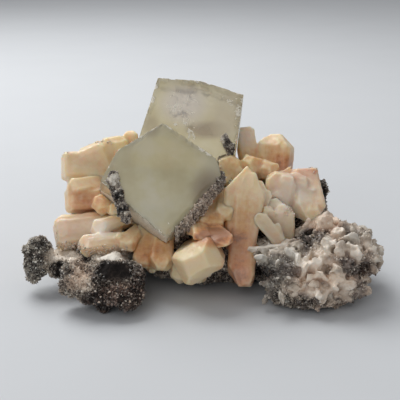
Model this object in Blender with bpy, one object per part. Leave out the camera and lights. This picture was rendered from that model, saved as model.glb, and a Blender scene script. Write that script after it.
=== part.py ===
"""Stilbite cluster: peach stilbite blades and two calcite rhombs grown on a lumpy basalt matrix.

The row frame has +Z up and its origin on the surface the matrix stands on, under the middle of the specimen.
The front of the specimen, the side that is shown to the viewer, looks along -Y.
Sizes in the tables are millimetres. Places of crystals are given as a collector sees them from the front: across
to the right, up in the picture and back into depth, from a point in the middle of the specimen.
"""

import math
from collections import namedtuple
from itertools import combinations

import bmesh
import bpy
import numpy as np
from mathutils import Matrix

MM = 0.001

# The collector's line of sight onto the front of the specimen.
SIGHT_ELEVATION = math.radians(18)
SIGHT_DISTANCE = 400.0
SIGHT_CENTRE_HEIGHT = 33.0

# Clearance that is kept between neighbouring pieces.
GAP = 0.3
# A crystal's foot reaches this far into what it grows from, beyond the foot point in its table.
ROOT = 4.0
# The side of the blocks whose hull joins the feet of a group.
ROOT_BLOCK = 6.0
# Faces that turn by less than this are one flat face.
FLAT_ANGLE = math.radians(0.2)
# Half the side of the block that stands for the floor when the matrix is trimmed flat.
FLOOR_BLOCK = 150.0

UP = np.array([0.0, math.sin(SIGHT_ELEVATION), math.cos(SIGHT_ELEVATION)])
AWAY = np.array([0.0, math.cos(SIGHT_ELEVATION), -math.sin(SIGHT_ELEVATION)])
ACROSS = np.array([1.0, 0.0, 0.0])

TOWARDS_VIEWER = (0, 0, -1)
UPWARDS = (0, 1, 0)

# foot and tip are places in sight millimetres, width and thick are the blade's largest section, face is the way its
# broad side looks, gable is the height of its pointed end, blunt the share of the width left at the very tip, and
# taper the share of the width left at the foot.
Blade = namedtuple(
    "Blade", "foot tip width thick face gable blunt taper", defaults=(TOWARDS_VIEWER, 6, 0.15, 0.7)
)
# centre and radii are row-frame millimetres, rough is the share of the radius that the surface rolls by, grain the
# number of rolls across a radius, and rings the fineness of the mesh.
Lump = namedtuple("Lump", "centre radii seed rough grain rings dents", defaults=(0.16, 1.6, 10, ()))
# A hollow in a lump: the way it opens, its angular radius in degrees, and its depth as a share of the radius.
Dent = namedtuple("Dent", "way angle depth")

# The two calcite rhombs. outline is the front face as the viewer sees it, going round as across and up; lean is how
# far the face lies back at the middle, per millimetre across and per millimetre up; depth is the edge that runs away
# from the viewer.
Rhomb = namedtuple("Rhomb", "outline lean depth")
CALCITE_RHOMBS = {
    "calcite_rhomb_front": Rhomb(
        ((-45, 8.6), (-37.3, 22.5), (-16.7, 35.1), (7.6, 18.9), (9.9, 11.2), (-14.9, -17.6)),
        (-28, 0, 0.26), (-1, -8, 32),
    ),
    "calcite_rhomb_back": Rhomb(
        ((-32.4, 12.6), (-19.1, 55.3), (0.4, 53.8), (19.8, 47.7), (14, 6.5)),
        (-8, -0.056, 0.21), (-1, -9, 33),
    ),
}

STILBITE_GROUPS = {
    "stilbite_tall_sheaf": [
        Blade((17, -24, -17), (21.3, 15.8, -17), 20.5, 11, gable=12, blunt=0.06, taper=0.55),
        Blade((20, -16, -13), (26.8, 9.4, -14), 10, 9, gable=5, blunt=0.4, taper=0.8),
        Blade((18.5, -10, -13), (18.4, -39.4, -27.5), 13, 10, gable=9, blunt=0.2, taper=0.8),
    ],
    "stilbite_front_point": [
        Blade((1.5, -23, -14), (-1.5, -28.8, -41), 21.5, 17, (-0.5, 0.85, -0.3), gable=6, blunt=0.5, taper=0.85),
        Blade((-2, -22, -14), (-12, -35.5, -25), 12, 8, gable=5, blunt=0.4),
        Blade((1, -24, -15), (-1, -37.5, -26.5), 9, 7, gable=4, blunt=0.4),
    ],
    "stilbite_low_pair": [
        Blade((-24, -12, -12), (-26, -30, -26), 9, 8, gable=3, blunt=0.55),
        Blade((-16, -13, -13), (-17.6, -31.5, -30), 10.5, 9, gable=4.5, blunt=0.4),
        Blade((-22, -16, -12), (-21.5, -33, -22), 8, 6, gable=3, blunt=0.4),
    ],
    "stilbite_under_calcite": [
        Blade((6, -2, -10), (4.5, -14.5, -27), 12.5, 10, gable=4, blunt=0.45),
        Blade((11, 0, -10), (11.2, -8, -24), 9, 8, gable=3, blunt=0.5),
        Blade((0, -8, -14), (-3, -16, -30), 8, 6, gable=3, blunt=0.4),
        Blade((2, -10, -20), (12.5, -20.5, -38), 11, 5, (0, 0.8, -0.6), gable=4, blunt=0.25),
        Blade((-2, -9, -20), (1.5, -18, -37), 9, 4.5, (0.2, 0.8, -0.6), gable=3, blunt=0.3),
    ],
    "stilbite_right_low": [
        Blade((38, -22, -11), (37.4, -1.6, -17), 10, 8, gable=4.5, blunt=0.25, taper=0.85),
        Blade((33, -14, -12), (29.4, -2.8, -21), 7, 5.5, gable=2.5, blunt=0.4),
        Blade((39, -23, -18), (25.4, -6, -23), 8, 3.5, gable=3, blunt=0.4, taper=0.9),
        Blade((34, -12, -12), (33, 1, -14), 9, 7, gable=3, blunt=0.5),
    ],
    "stilbite_right_fan": [
        Blade((33, -7, -6), (37.3, 12.5, -12), 15, 9, gable=4, blunt=0.55, taper=0.8),
        Blade((47, 7.5, -1), (49.6, -10, -15), 15.5, 12, (0.2, 0.2, -0.9), gable=7, blunt=0.2, taper=0.9),
        Blade((41, 2, -2), (45.5, 10.8, -10), 11.5, 8, gable=3, blunt=0.6),
        Blade((35, 11, 2), (53.5, 12.6, -1), 6, 5, gable=1.5, blunt=0.6, taper=0.9),
    ],
    "stilbite_upper_right": [
        Blade((33, 6, 14), (34.4, 30, 14), 18, 13, (-0.35, 0, -0.9), gable=6.5, blunt=0.35, taper=0.9),
        Blade((24, 8, 14), (20.4, 33, 15), 10.5, 8, (0.2, 0, -0.9), gable=2, blunt=0.6, taper=0.95),
        Blade((26, 8, 10), (21.4, 18.6, -6), 11.5, 10.5, (0.2, 0.9, -0.3), gable=4, blunt=0.5),
        Blade((32, 9, 8), (30.2, 15.6, -7), 10, 9.5, (0.2, 0.9, -0.3), gable=3.5, blunt=0.5),
        Blade((19, -2, 1), (11.5, 19.8, -5), 12, 9, gable=3.5, blunt=0.5, taper=0.9),
    ],
    "stilbite_left_block": [
        Blade((-31, 15, 11), (-62.2, 15.2, 1), 13.5, 13, (0.1, 0.2, -0.95), gable=1.2, blunt=0.85, taper=1.4),
        Blade((-34, 8, 8), (-59.8, 8.2, 1), 9, 10, gable=1.5, blunt=0.8),
        Blade((-36, 6, 9), (-39.5, 28.8, 5), 15, 11, (0.15, 0.1, -0.95), gable=3, blunt=0.6, taper=0.9),
        Blade((-29, 8, 12), (-31.5, 31.5, 10), 8, 7, gable=2, blunt=0.5),
        Blade((-42, 8, 8), (-50, 24.6, 2), 15, 11, (-0.1, 0.15, -0.95), gable=2.5, blunt=0.7, taper=0.95),
    ],
    "stilbite_left_middle": [
        Blade((-31, 0, 4), (-60.6, 0.6, -7), 13.5, 12, (0, 0.3, -0.9), gable=2, blunt=0.7, taper=1),
        Blade((-36, 1, 0), (-47.5, -3.5, -13), 10, 8, (0.1, 0.5, -0.8), gable=3, blunt=0.5),
        Blade((-32, -3, 0), (-40, -6, -16), 8, 7, (0.2, 0.6, -0.7), gable=3, blunt=0.4),
    ],
    "stilbite_left_foot": [
        Blade((-42, -12.5, -6), (-65.5, -15.5, -14), 16.5, 12, (0, 0.35, -0.9), gable=4, blunt=0.7, taper=0.9),
        Blade((-33, -9, -10), (-48.5, -14.5, -21), 9.5, 9, (0, 0.5, -0.8), gable=3, blunt=0.5),
        Blade((-29, -16, -12), (-54.5, -20.5, -22), 8.5, 8, (0, 0.6, -0.8), gable=3, blunt=0.5),
        Blade((-28, -14, -12), (-34, -21, -27), 9, 7, (0, 0.7, -0.7), gable=3, blunt=0.6),
    ],
    "stilbite_back_left": [
        Blade((-34, -2, 34), (-48, 12, 46), 15, 10, (0.4, 0.9, 0), gable=5, blunt=0.35),
        Blade((-30, 0, 34), (-30, 15, 52), 15, 10, UPWARDS, gable=6, blunt=0.3),
        Blade((-40, -6, 30), (-60, -2, 40), 13, 9, (-0.3, 0.9, 0.2), gable=5, blunt=0.4),
        Blade((-34, -8, 34), (-42, -4, 56), 12, 9, (0, 0.9, 0.4), gable=4, blunt=0.4),
        Blade((-40, 2, 26), (-58, 12, 26), 12, 9, (0.2, 0.9, 0), gable=4, blunt=0.45),
    ],
    "stilbite_back_middle": [
        Blade((-8, 0, 38), (-10, 18, 54), 17, 12, UPWARDS, gable=6, blunt=0.3),
        Blade((2, -2, 38), (9, 14, 56), 14, 10, (0.3, 0.9, 0), gable=5, blunt=0.35),
        Blade((-10, -6, 40), (-17, 2, 60), 14, 10, (0, 0.8, 0.5), gable=6, blunt=0.3),
        Blade((0, -8, 40), (1, -6, 62), 13, 9, (0, 0.9, 0.4), gable=5, blunt=0.4),
    ],
    "stilbite_back_right": [
        Blade((28, 0, 32), (30, 18, 44), 17, 11, (0.2, 0.9, 0), gable=6, blunt=0.3),
        Blade((34, -4, 30), (47, 10, 34), 14, 10, (0.4, 0.9, 0), gable=5, blunt=0.4),
        Blade((26, -6, 36), (27, 2, 58), 14, 10, (0, 0.8, 0.5), gable=5, blunt=0.35),
        Blade((34, -10, 34), (50, -4, 46), 13, 9, (0.3, 0.9, 0.2), gable=4, blunt=0.4),
    ],
}

# The bladed crust on the right, a heap of short pale blades on two lumps.
CRUST_LUMPS = [
    Lump((56, -30, 16.5), (18, 15, 11.5), 31, rough=0.2, grain=2.2, rings=6),
    Lump((38, -36, 12), (15, 11, 9), 32, rough=0.22, grain=2.2, rings=5),
]
CRUST_BLADES = [
    Blade((46, -14, -14), (61, -5.5, -17), 6.5, 5, (0.2, 0.7, -0.7), gable=2, blunt=0.5),
    Blade((52, -22, -20), (56.5, -6.5, -23), 7, 6, (0.5, 0.2, -0.8), gable=2, blunt=0.6),
    Blade((60, -28, -22), (67, -8.5, -18), 9, 7, (0.4, 0.3, -0.8), gable=2, blunt=0.5),
    Blade((65, -27, -22), (61, -11, -28), 8, 6.5, (0.3, 0.3, -0.9), gable=2.5, blunt=0.5),
    Blade((53.5, -20, -26), (47.5, -39.5, -35), 9, 8, (0.3, 0.4, -0.85), gable=3, blunt=0.55),
    Blade((58, -20, -26), (55.5, -30, -39), 8, 6, (0.3, 0.6, -0.7), gable=2, blunt=0.6),
    Blade((61, -22, -24), (69, -26, -35), 9, 8, (0.1, 0.8, -0.6), gable=3, blunt=0.5),
    Blade((64, -22, -18), (76, -22, -26), 9, 8, (0.2, 0.8, -0.6), gable=3, blunt=0.5),
    Blade((54, -32, -31), (70.5, -37, -34), 5.5, 5, (0, 0.6, -0.8), gable=1.5, blunt=0.6),
    Blade((49, -32, -28), (42, -41.5, -36), 9, 7, (0.2, 0.7, -0.7), gable=3, blunt=0.5),
    Blade((56, -34, -27), (56, -44, -35), 12, 8, (0, 0.7, -0.7), gable=3, blunt=0.5),
    Blade((61, -34, -25), (68, -43.5, -31), 9, 7, (0.3, 0.7, -0.7), gable=3, blunt=0.5),
    Blade((40, -20, -22), (20, -22.8, -28), 4.5, 3.5, (0, 0.9, -0.4), gable=1.5, blunt=0.4, taper=1),
    Blade((44, -23, -23), (28.5, -26, -31), 8, 7, (0, 0.7, -0.7), gable=3, blunt=0.5),
    Blade((42.5, -27, -22), (43, -17.5, -28), 5, 4.5, (0.2, 0.2, -0.9), gable=1.5, blunt=0.5),
    Blade((42, -34, -24), (31, -41, -36), 8, 6, (0, 0.8, -0.6), gable=2, blunt=0.5),
    Blade((60, -32, -24), (77, -36, -28), 8, 6, (0, 0.6, -0.8), gable=2, blunt=0.5),
    Blade((60, -24, -14), (78, -20, -18), 10, 7, (0.2, 0.8, -0.6), gable=3, blunt=0.4),
    Blade((64, -28, -18), (82.6, -29.5, -16), 9, 8, (0.2, 0.7, -0.6), gable=3, blunt=0.3),
    Blade((62, -16, -4), (76, -14, 2), 9, 7, (0.2, 0.9, -0.2), gable=2, blunt=0.5),
]

# Small dark crusts that grew on the calcite rhombs, as rows of lumps with a place and radii.
RHOMB_CRUSTS = {
    "druse_on_front_rhomb_left": [
        ((-38.8, 8.4, -25.6), (3.6, 3.4, 4.0)),
        ((-37.2, 3.6, -26.6), (3.6, 3.4, 4.4)),
        ((-35.4, -1.6, -27.6), (3.6, 3.4, 4.4)),
        ((-33.2, -6.8, -28.4), (3.4, 3.2, 4.4)),
    ],
    "druse_on_front_rhomb_right": [
        ((8.4, 7.0, -23.2), (4.0, 3.6, 4.2)),
        ((4.6, 2.0, -24.6), (4.4, 4.0, 4.6)),
        ((0.4, -3.4, -26.4), (4.4, 4.0, 4.8)),
        ((-4.0, -8.8, -28.4), (4.2, 3.8, 4.6)),
        ((-8.4, -13.8, -30.4), (3.8, 3.6, 4.4)),
    ],
    "druse_on_back_rhomb": [
        ((11.2, 27.0, -4.0), (3.0, 2.4, 3.2)),
        ((12.8, 23.2, -5.0), (3.2, 2.8, 3.2)),
    ],
}

MATRIX_LUMPS = [
    Lump((-6, 12, 13), (54, 30, 14), 1, rough=0.1, grain=2.2, rings=8),
    Lump((-44, 2, 19), (17, 22, 11), 2, rings=5),
    Lump((-2, 4, 28), (28, 22, 16), 3, rings=5),
    Lump((34, 6, 27), (22, 20, 16), 4, rings=5),
    Lump(
        (-37, -42, 11), (16.5, 15, 12), 5, rough=0.14, grain=2.4, rings=10,
        dents=(Dent((0.25, -0.85, 0.45), 50, 0.45),),
    ),
    Lump((-51, -43.5, 13), (8.5, 8.5, 9.5), 21, rough=0.2, rings=6),
    Lump((-30, -49.5, 7.5), (8, 6.5, 7.5), 23, rough=0.2, rings=6),
    Lump((-58, -21, 11.5), (11, 12, 8), 6, rough=0.18, rings=5),
    Lump((-70, -25, 15), (8, 9, 10), 7, rough=0.2, grain=2.2, rings=6),
    Lump((-42, -24, 14), (13, 14, 9), 8, rings=5),
    Lump((47, -37, 7), (21, 15, 10), 9, rough=0.18, grain=2.2, rings=7),
    Lump((60, -20, 13), (15, 18, 13), 10, rough=0.18, grain=2.2, rings=6),
    Lump((49, 3, 33), (8, 11, 12), 11, rough=0.2, grain=2.2, rings=6),
    Lump((49, 10, 14), (18, 24, 14), 12, rough=0.14, grain=2.0, rings=6),
    Lump((-28, 32, 14), (28, 20, 13), 13, rough=0.16, grain=2.0, rings=7),
    Lump((12, 34, 13), (30, 19, 13), 14, rough=0.16, grain=2.0, rings=7),
    Lump((8, -21, 15.5), (28, 12, 8), 15, rough=0.14, rings=5),
    Lump((4, -13, 7), (32, 14, 8), 16, rough=0.16, rings=5),
]

# Colours are linear RGB, then roughness.
FINISHES = {
    "basalt": ((0.045, 0.038, 0.034), 0.9),
    "calcite": ((0.42, 0.38, 0.24), 0.2),
    "stilbite": ((0.60, 0.37, 0.20), 0.35),
    "druse": ((0.38, 0.34, 0.30), 0.6),
}


def seen(across, up, back):
    """The row-frame point, in millimetres, that the viewer sees at that place, that far behind the middle."""
    spread = 1 + back / SIGHT_DISTANCE
    middle = np.array([0.0, 0.0, SIGHT_CENTRE_HEIGHT])
    return middle + back * AWAY + spread * (across * ACROSS + up * UP)


def unit(vector):
    return np.asarray(vector, float) / np.linalg.norm(vector)


def value_noise(points, seed):
    """Smooth noise from -1 to 1: a random number at each point of a unit lattice, blended by cubic weights."""
    cell = np.floor(points).astype(np.int64)
    part = points - cell
    part = part * part * (3 - 2 * part)
    total = np.zeros(len(points))
    for corner in np.ndindex(2, 2, 2):
        key = (cell + corner) * (73856093, 19349663, 83492791)
        mixed = key[:, 0] ^ key[:, 1] ^ key[:, 2] ^ (seed * 9176213)
        mixed = (mixed ^ (mixed >> 13)) * 1274126177
        value = ((mixed >> 8) & 0xFFFF) / 32767.5 - 1
        total += value * np.prod(np.where(corner, part, 1 - part), axis=1)
    return total


def blade_planes(blade, grow):
    """The faces of a blade as a centre, outward normals and distances, with every face moved out by grow."""
    foot, tip = seen(*blade.foot), seen(*blade.tip)
    along = unit(tip - foot)
    look = blade.face[0] * ACROSS + blade.face[1] * UP + blade.face[2] * AWAY
    out = unit(look - along * (look @ along))
    side = np.cross(along, out)
    length = np.linalg.norm(tip - foot)
    shoulder = length - blade.gable
    half_width, half_thick = blade.width / 2, blade.thick / 2
    bevel = 0.3 * half_thick
    lean = half_width * (1 - blade.taper) / (shoulder + ROOT)
    end_width, end_thick = half_width * blade.blunt, half_thick * max(blade.blunt, 0.3)
    # Each face: its normal in side, out and along, and a point of it.
    faces = [((0, 0, 1), (0, 0, length)), ((0, 0, -1), (0, 0, -ROOT))]
    for way in (-1, 1):
        faces += [
            ((0, way, 0), (0, way * half_thick, 0)),
            ((way, 0, -lean), (way * half_width, 0, shoulder)),
            ((way * blade.gable, 0, half_width - end_width), (way * half_width, 0, shoulder)),
            ((0, way * blade.gable, half_thick - end_thick), (0, way * half_thick, shoulder)),
        ]
        for over in (-1, 1):
            edge = (way * (half_width - bevel), over * half_thick, shoulder)
            faces.append(((way, over, -lean), edge))
    axes = np.array([side, out, along])
    centre = foot + along * 0.6 * shoulder
    normals = np.array([unit(normal) for normal, point in faces])
    points = np.array([point for normal, point in faces], float)
    inner = np.array([0, 0, 0.6 * shoulder])
    distances = np.einsum("ij,ij->i", normals, points - inner) + grow
    return centre, normals @ axes, distances


def keep_hull(mesh):
    """Closes a bmesh of points into their convex hull."""
    hull = bmesh.ops.convex_hull(mesh, input=mesh.verts)
    loose = {item for item in hull["geom_interior"] + hull["geom_unused"] if isinstance(item, bmesh.types.BMVert)}
    bmesh.ops.delete(mesh, geom=list(loose), context="VERTS")


def merge_flat_faces(mesh):
    """Makes one face of neighbouring faces that lie in one plane."""
    bmesh.ops.dissolve_limit(mesh, angle_limit=FLAT_ANGLE, verts=mesh.verts, edges=mesh.edges, delimit=set())


def solid_of_planes(centre, normals, distances):
    """The convex solid inside all the planes, as a bmesh: the corners are where three planes meet."""
    corners = []
    for three in combinations(range(len(normals)), 3):
        chosen = normals[list(three)]
        if abs(np.linalg.det(chosen)) < 1e-4:
            continue
        corner = np.linalg.solve(chosen, distances[list(three)])
        if (normals @ corner <= distances + 1e-6).all():
            corners.append(np.round(corner, 5))
    mesh = bmesh.new()
    for corner in np.unique(corners, axis=0):
        mesh.verts.new((corner + centre) * MM)
    keep_hull(mesh)
    merge_flat_faces(mesh)
    return mesh


def blade_solid(blade, grow):
    return solid_of_planes(*blade_planes(blade, grow))


def root_solid(blades, grow):
    """The mass that a group of blades grows from: the convex hull of small blocks at all their feet."""
    mesh = bmesh.new()
    reach = ROOT_BLOCK / 2 + grow
    for blade in blades:
        for sign in np.ndindex(2, 2, 2):
            mesh.verts.new((seen(*blade.foot) + (np.array(sign) * 2 - 1) * reach) * MM)
    keep_hull(mesh)
    merge_flat_faces(mesh)
    return mesh


def group_solids(blades, grow):
    return [root_solid(blades, grow)] + [blade_solid(blade, grow) for blade in blades]


def rhomb_solid(rhomb, grow):
    """A calcite rhomb: its front face, the face behind it, and a side face through every edge of the outline."""
    start, per_across, per_up = rhomb.lean
    front = [np.array((across, up, start + per_across * across + per_up * up)) for across, up in rhomb.outline]
    front, rear = [seen(*place) for place in front], [seen(*(place + rhomb.depth)) for place in front]
    centre = np.mean(front + rear, axis=0)
    following = front[1:] + front[:1]
    faces = [(front[0], front[1], front[-1]), (rear[0], rear[1], rear[-1])]
    faces += list(zip(front, following, rear))
    normals, distances = [], []
    for first, second, third in faces:
        normal = unit(np.cross(second - first, third - first))
        distance = normal @ (first - centre)
        normals.append(normal * np.sign(distance))
        distances.append(abs(distance) + grow)
    return solid_of_planes(centre, np.array(normals), np.array(distances))


def lump_reach(lump, ways):
    """The share of a lump's radii that its surface reaches in each way: rolling noise, less its hollows."""
    coarse = value_noise(ways * lump.grain + 7.3, lump.seed)
    fine = value_noise(ways * lump.grain * 2.3 + 3.1, lump.seed + 50)
    reach = 1 + lump.rough * coarse + 0.45 * lump.rough * fine
    for dent in lump.dents:
        off_axis = np.degrees(np.arccos(np.clip(ways @ unit(dent.way), -1, 1)))
        depth = np.clip(1.25 * (1 - off_axis / dent.angle), 0, 1)
        reach -= dent.depth * depth * depth * (3 - 2 * depth)
    return reach


def lump_solid(lump, grow):
    """A rounded rock lump, as a sphere of rings whose points are pushed out by the lump's reach."""
    mesh = bmesh.new()
    bmesh.ops.create_uvsphere(mesh, u_segments=2 * lump.rings, v_segments=lump.rings, radius=1)
    ways = np.array([vertex.co for vertex in mesh.verts])
    reach = lump_reach(lump, ways)[:, None]
    places = np.array(lump.centre) + ways * (np.array(lump.radii) * reach + grow)
    for vertex, place in zip(mesh.verts, places):
        vertex.co = place * MM
    bmesh.ops.triangulate(mesh, faces=mesh.faces)
    return mesh


def crust_lump(place, radii, seed):
    """A small lump of a crust on a rhomb, from its place in the viewer's millimetres."""
    return Lump(tuple(seen(*place)), radii, seed, rough=0.2, grain=1.8, rings=4)


def helper_object(name, mesh):
    """A hidden object that is only used to join or cut others."""
    bmesh.ops.recalc_face_normals(mesh, faces=mesh.faces)
    data = bpy.data.meshes.new(name)
    mesh.to_mesh(data)
    mesh.free()
    made = bpy.data.objects.new(name, data)
    made.hide_render = True
    made.display_type = "WIRE"
    bpy.context.scene.collection.objects.link(made)
    return made


def combine(base, others, operation):
    """Joins the others to the base, or cuts them from it, one after the other, and removes them."""
    for other in others:
        step = base.modifiers.new(other.name, "BOOLEAN")
        step.operation = operation
        step.solver = "EXACT"
        step.object = other
        bpy.context.view_layer.update()
        graph = bpy.context.evaluated_depsgraph_get()
        result = bpy.data.meshes.new_from_object(base.evaluated_get(graph))
        base.modifiers.clear()
        base.data = result
    return base


def remove(objects):
    for made in objects:
        bpy.data.objects.remove(made)


def fused(name, meshes):
    """One hidden object that is the union of overlapping solids."""
    pieces = [helper_object(f"{name}_{number}", mesh) for number, mesh in enumerate(meshes)]
    whole = combine(pieces[0], pieces[1:], "UNION")
    remove(pieces[1:])
    return whole


def largest_body(data):
    """Keeps the largest connected body of a mesh, because a cut can leave loose chips."""
    mesh = bmesh.new()
    mesh.from_mesh(data)
    unseen, bodies = set(mesh.verts), []
    while unseen:
        front = [unseen.pop()]
        body = set(front)
        while front:
            vertex = front.pop()
            reached = {edge.other_vert(vertex) for edge in vertex.link_edges} & unseen
            unseen -= reached
            body |= reached
            front += reached
        bodies.append(body)
    bodies.sort(key=lambda body: sum(face.calc_area() for vertex in body for face in vertex.link_faces))
    chips = [vertex for body in bodies[:-1] for vertex in body]
    bmesh.ops.delete(mesh, geom=chips, context="VERTS")
    merge_flat_faces(mesh)
    bmesh.ops.triangulate(mesh, faces=mesh.faces)
    mesh.to_mesh(data)
    mesh.free()


def box_of(made):
    corners = np.array([vertex.co for vertex in made.data.vertices])
    return corners.min(axis=0), corners.max(axis=0)


def near(first, second):
    (low_a, high_a), (low_b, high_b) = box_of(first), box_of(second)
    return bool((low_a < high_b).all() and (low_b < high_a).all())


def finish(made, name, material):
    """Turns a helper into a finished node with its own name and material."""
    largest_body(made.data)
    made.name = name
    made.data.name = name
    made.hide_render = False
    made.display_type = "TEXTURED"
    made.data.materials.clear()
    made.data.materials.append(material)
    return made


def material(name):
    colour, roughness = FINISHES[name]
    made = bpy.data.materials.new(name)
    made.use_nodes = True
    shader = made.node_tree.nodes["Principled BSDF"]
    shader.inputs["Base Color"].default_value = (*colour, 1)
    shader.inputs["Roughness"].default_value = roughness
    shader.inputs["Metallic"].default_value = 0
    return made


def floor_block():
    """The block below the resting plane that the matrix is trimmed with."""
    mesh = bmesh.new()
    bmesh.ops.create_cube(mesh, size=2 * FLOOR_BLOCK * MM)
    bmesh.ops.translate(mesh, verts=mesh.verts, vec=(0, 0, -FLOOR_BLOCK * MM))
    return helper_object("floor_block", mesh)


def stand_on_origin(nodes):
    """Moves all pieces together so that the middle of the specimen's box stands over the origin."""
    boxes = [box_of(node) for node in nodes]
    lowest = np.min([low for low, high in boxes], axis=0)
    highest = np.max([high for low, high in boxes], axis=0)
    middle = (lowest + highest) / 2
    for node in nodes:
        node.data.transform(Matrix.Translation((-middle[0], -middle[1], 0)))


def recipes():
    """Every piece in the order in which they keep their shape: name, finish, and its solids at a given growth."""
    for name, rhomb in CALCITE_RHOMBS.items():
        yield name, "calcite", lambda grow, r=rhomb: [rhomb_solid(r, grow)]
    for name, blades in STILBITE_GROUPS.items():
        yield name, "stilbite", lambda grow, b=blades: group_solids(b, grow)
    for name, row in RHOMB_CRUSTS.items():
        lumps = [crust_lump(place, radii, 60 + number) for number, (place, radii) in enumerate(row)]
        yield name, "druse", lambda grow, s=lumps: [lump_solid(lump, grow) for lump in s]
    yield (
        "bladed_crust_right",
        "druse",
        lambda grow: [lump_solid(lump, grow) for lump in CRUST_LUMPS]
        + [blade_solid(blade, grow) for blade in CRUST_BLADES],
    )
    yield "basalt_matrix", "basalt", lambda grow: [lump_solid(lump, grow) for lump in MATRIX_LUMPS]


def main():
    for old in list(bpy.data.objects):
        bpy.data.objects.remove(old)
    materials = {name: material(name) for name in FINISHES}
    floor = floor_block()
    nodes, cutters = [], []
    for name, slot, solids in recipes():
        made = fused(name, solids(0))
        nearby = [cutter for cutter in cutters if near(made, cutter)]
        combine(made, nearby + [floor], "DIFFERENCE")
        nodes.append(finish(made, name, materials[slot]))
        if name != "basalt_matrix":
            cutters.append(fused(f"{name}_cutter", solids(GAP)))
    remove(cutters + [floor])
    stand_on_origin(nodes)


main()
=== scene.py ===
"""Stilbite cluster: peach stilbite blades and two calcite rhombs on a druse-coated basalt matrix.

Laid out as a Blender add-on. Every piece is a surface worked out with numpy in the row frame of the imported
model: millimetres in the tables and in the functions, metres in the meshes. The places of crystals are given
as they are seen from the front: across to the right, up in the picture and back into depth.
"""

import math
from collections import namedtuple

import bpy
import numpy as np
from bpy.props import FloatProperty, FloatVectorProperty, IntProperty, PointerProperty
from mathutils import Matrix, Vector


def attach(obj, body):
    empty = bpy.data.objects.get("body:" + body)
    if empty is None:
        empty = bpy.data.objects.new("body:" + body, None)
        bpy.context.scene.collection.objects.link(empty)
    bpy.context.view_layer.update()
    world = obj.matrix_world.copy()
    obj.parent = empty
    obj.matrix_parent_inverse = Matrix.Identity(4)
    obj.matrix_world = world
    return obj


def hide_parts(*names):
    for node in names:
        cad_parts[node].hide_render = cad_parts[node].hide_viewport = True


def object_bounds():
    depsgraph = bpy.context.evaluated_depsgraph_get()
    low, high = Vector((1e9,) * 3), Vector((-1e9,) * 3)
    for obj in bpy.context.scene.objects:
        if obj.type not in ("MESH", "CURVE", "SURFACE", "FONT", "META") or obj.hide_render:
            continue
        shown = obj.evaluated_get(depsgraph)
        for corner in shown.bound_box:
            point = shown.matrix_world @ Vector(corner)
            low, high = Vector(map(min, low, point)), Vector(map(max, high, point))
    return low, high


bl_info = {
    "name": "Stilbite cluster",
    "version": (1, 0, 0),
    "blender": (4, 5, 0),
    "location": "View3D > Sidebar > Stilbite",
    "description": "Grows a stilbite and calcite specimen on its basalt matrix",
    "category": "Object",
}

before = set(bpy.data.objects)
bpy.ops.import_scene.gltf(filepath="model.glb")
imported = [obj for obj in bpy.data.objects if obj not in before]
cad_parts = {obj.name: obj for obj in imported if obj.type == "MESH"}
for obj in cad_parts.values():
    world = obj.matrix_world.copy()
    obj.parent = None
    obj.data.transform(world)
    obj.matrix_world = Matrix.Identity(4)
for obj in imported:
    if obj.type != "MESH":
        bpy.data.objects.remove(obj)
CAD_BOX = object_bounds()

MM = 0.001

# The line of sight onto the front of the specimen, and the width of the frame at the point it is aimed at, in
# millimetres.
SIGHT_ELEVATION = math.radians(18)
SIGHT_DISTANCE = 400.0
SIGHT_CENTRE = np.array([-0.72, -1.52, 33.0])
FRAME_WIDTH = 180.0

UP = np.array([0.0, math.sin(SIGHT_ELEVATION), math.cos(SIGHT_ELEVATION)])
AWAY = np.array([0.0, math.cos(SIGHT_ELEVATION), -math.sin(SIGHT_ELEVATION)])
ACROSS = np.array([1.0, 0.0, 0.0])

TOWARDS_VIEWER = (0, 0, -1)
UPWARDS = (0, 1, 0)

# Clearance between a rhomb and what is carved to fit round it, and how far a blade goes on below its foot.
GAP = 0.15
ROOT = 4.0
# Edges sharper than this many degrees are shaded as edges.
SHARP_ANGLE = 42

# foot and tip are places in sight millimetres, width and thick are the blade's largest section, face is the
# way its broad side looks, gable is the height of its pointed end, blunt the share of the width left at the
# very tip, and taper the share of the width left at the foot.
Blade = namedtuple(
    "Blade", "foot tip width thick face gable blunt taper", defaults=(TOWARDS_VIEWER, 6, 0.15, 0.7)
)
# centre and radii are millimetres from the specimen's middle, rough is the share of the radius that the
# surface rolls by, grain the number of rolls across a radius, and dents its hollows.
Lump = namedtuple("Lump", "centre radii seed rough grain dents", defaults=(0.16, 1.6, ()))
# A hollow in a lump: the way it opens, its angular radius in degrees, and its depth as a share of the radius.
Dent = namedtuple("Dent", "way angle depth")

# The two calcite rhombs. outline is the front face as the viewer sees it, going round as across and up; lean
# is how far the face lies back at the middle, per millimetre across and per millimetre up; depth is the edge
# that runs away from the viewer.
Rhomb = namedtuple("Rhomb", "outline lean depth")
CALCITE_RHOMBS = {
    "calcite_rhomb_front": Rhomb(
        ((-45, 8.6), (-37.3, 22.5), (-16.7, 35.1), (7.6, 18.9), (9.9, 11.2), (-14.9, -17.6)),
        (-28, 0, 0.26), (-1, -8, 32),
    ),
    "calcite_rhomb_back": Rhomb(
        ((-32.4, 12.6), (-19.1, 55.3), (0.4, 53.8), (19.8, 47.7), (14, 6.5)),
        (-8, -0.056, 0.21), (-1, -9, 33),
    ),
}

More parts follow.
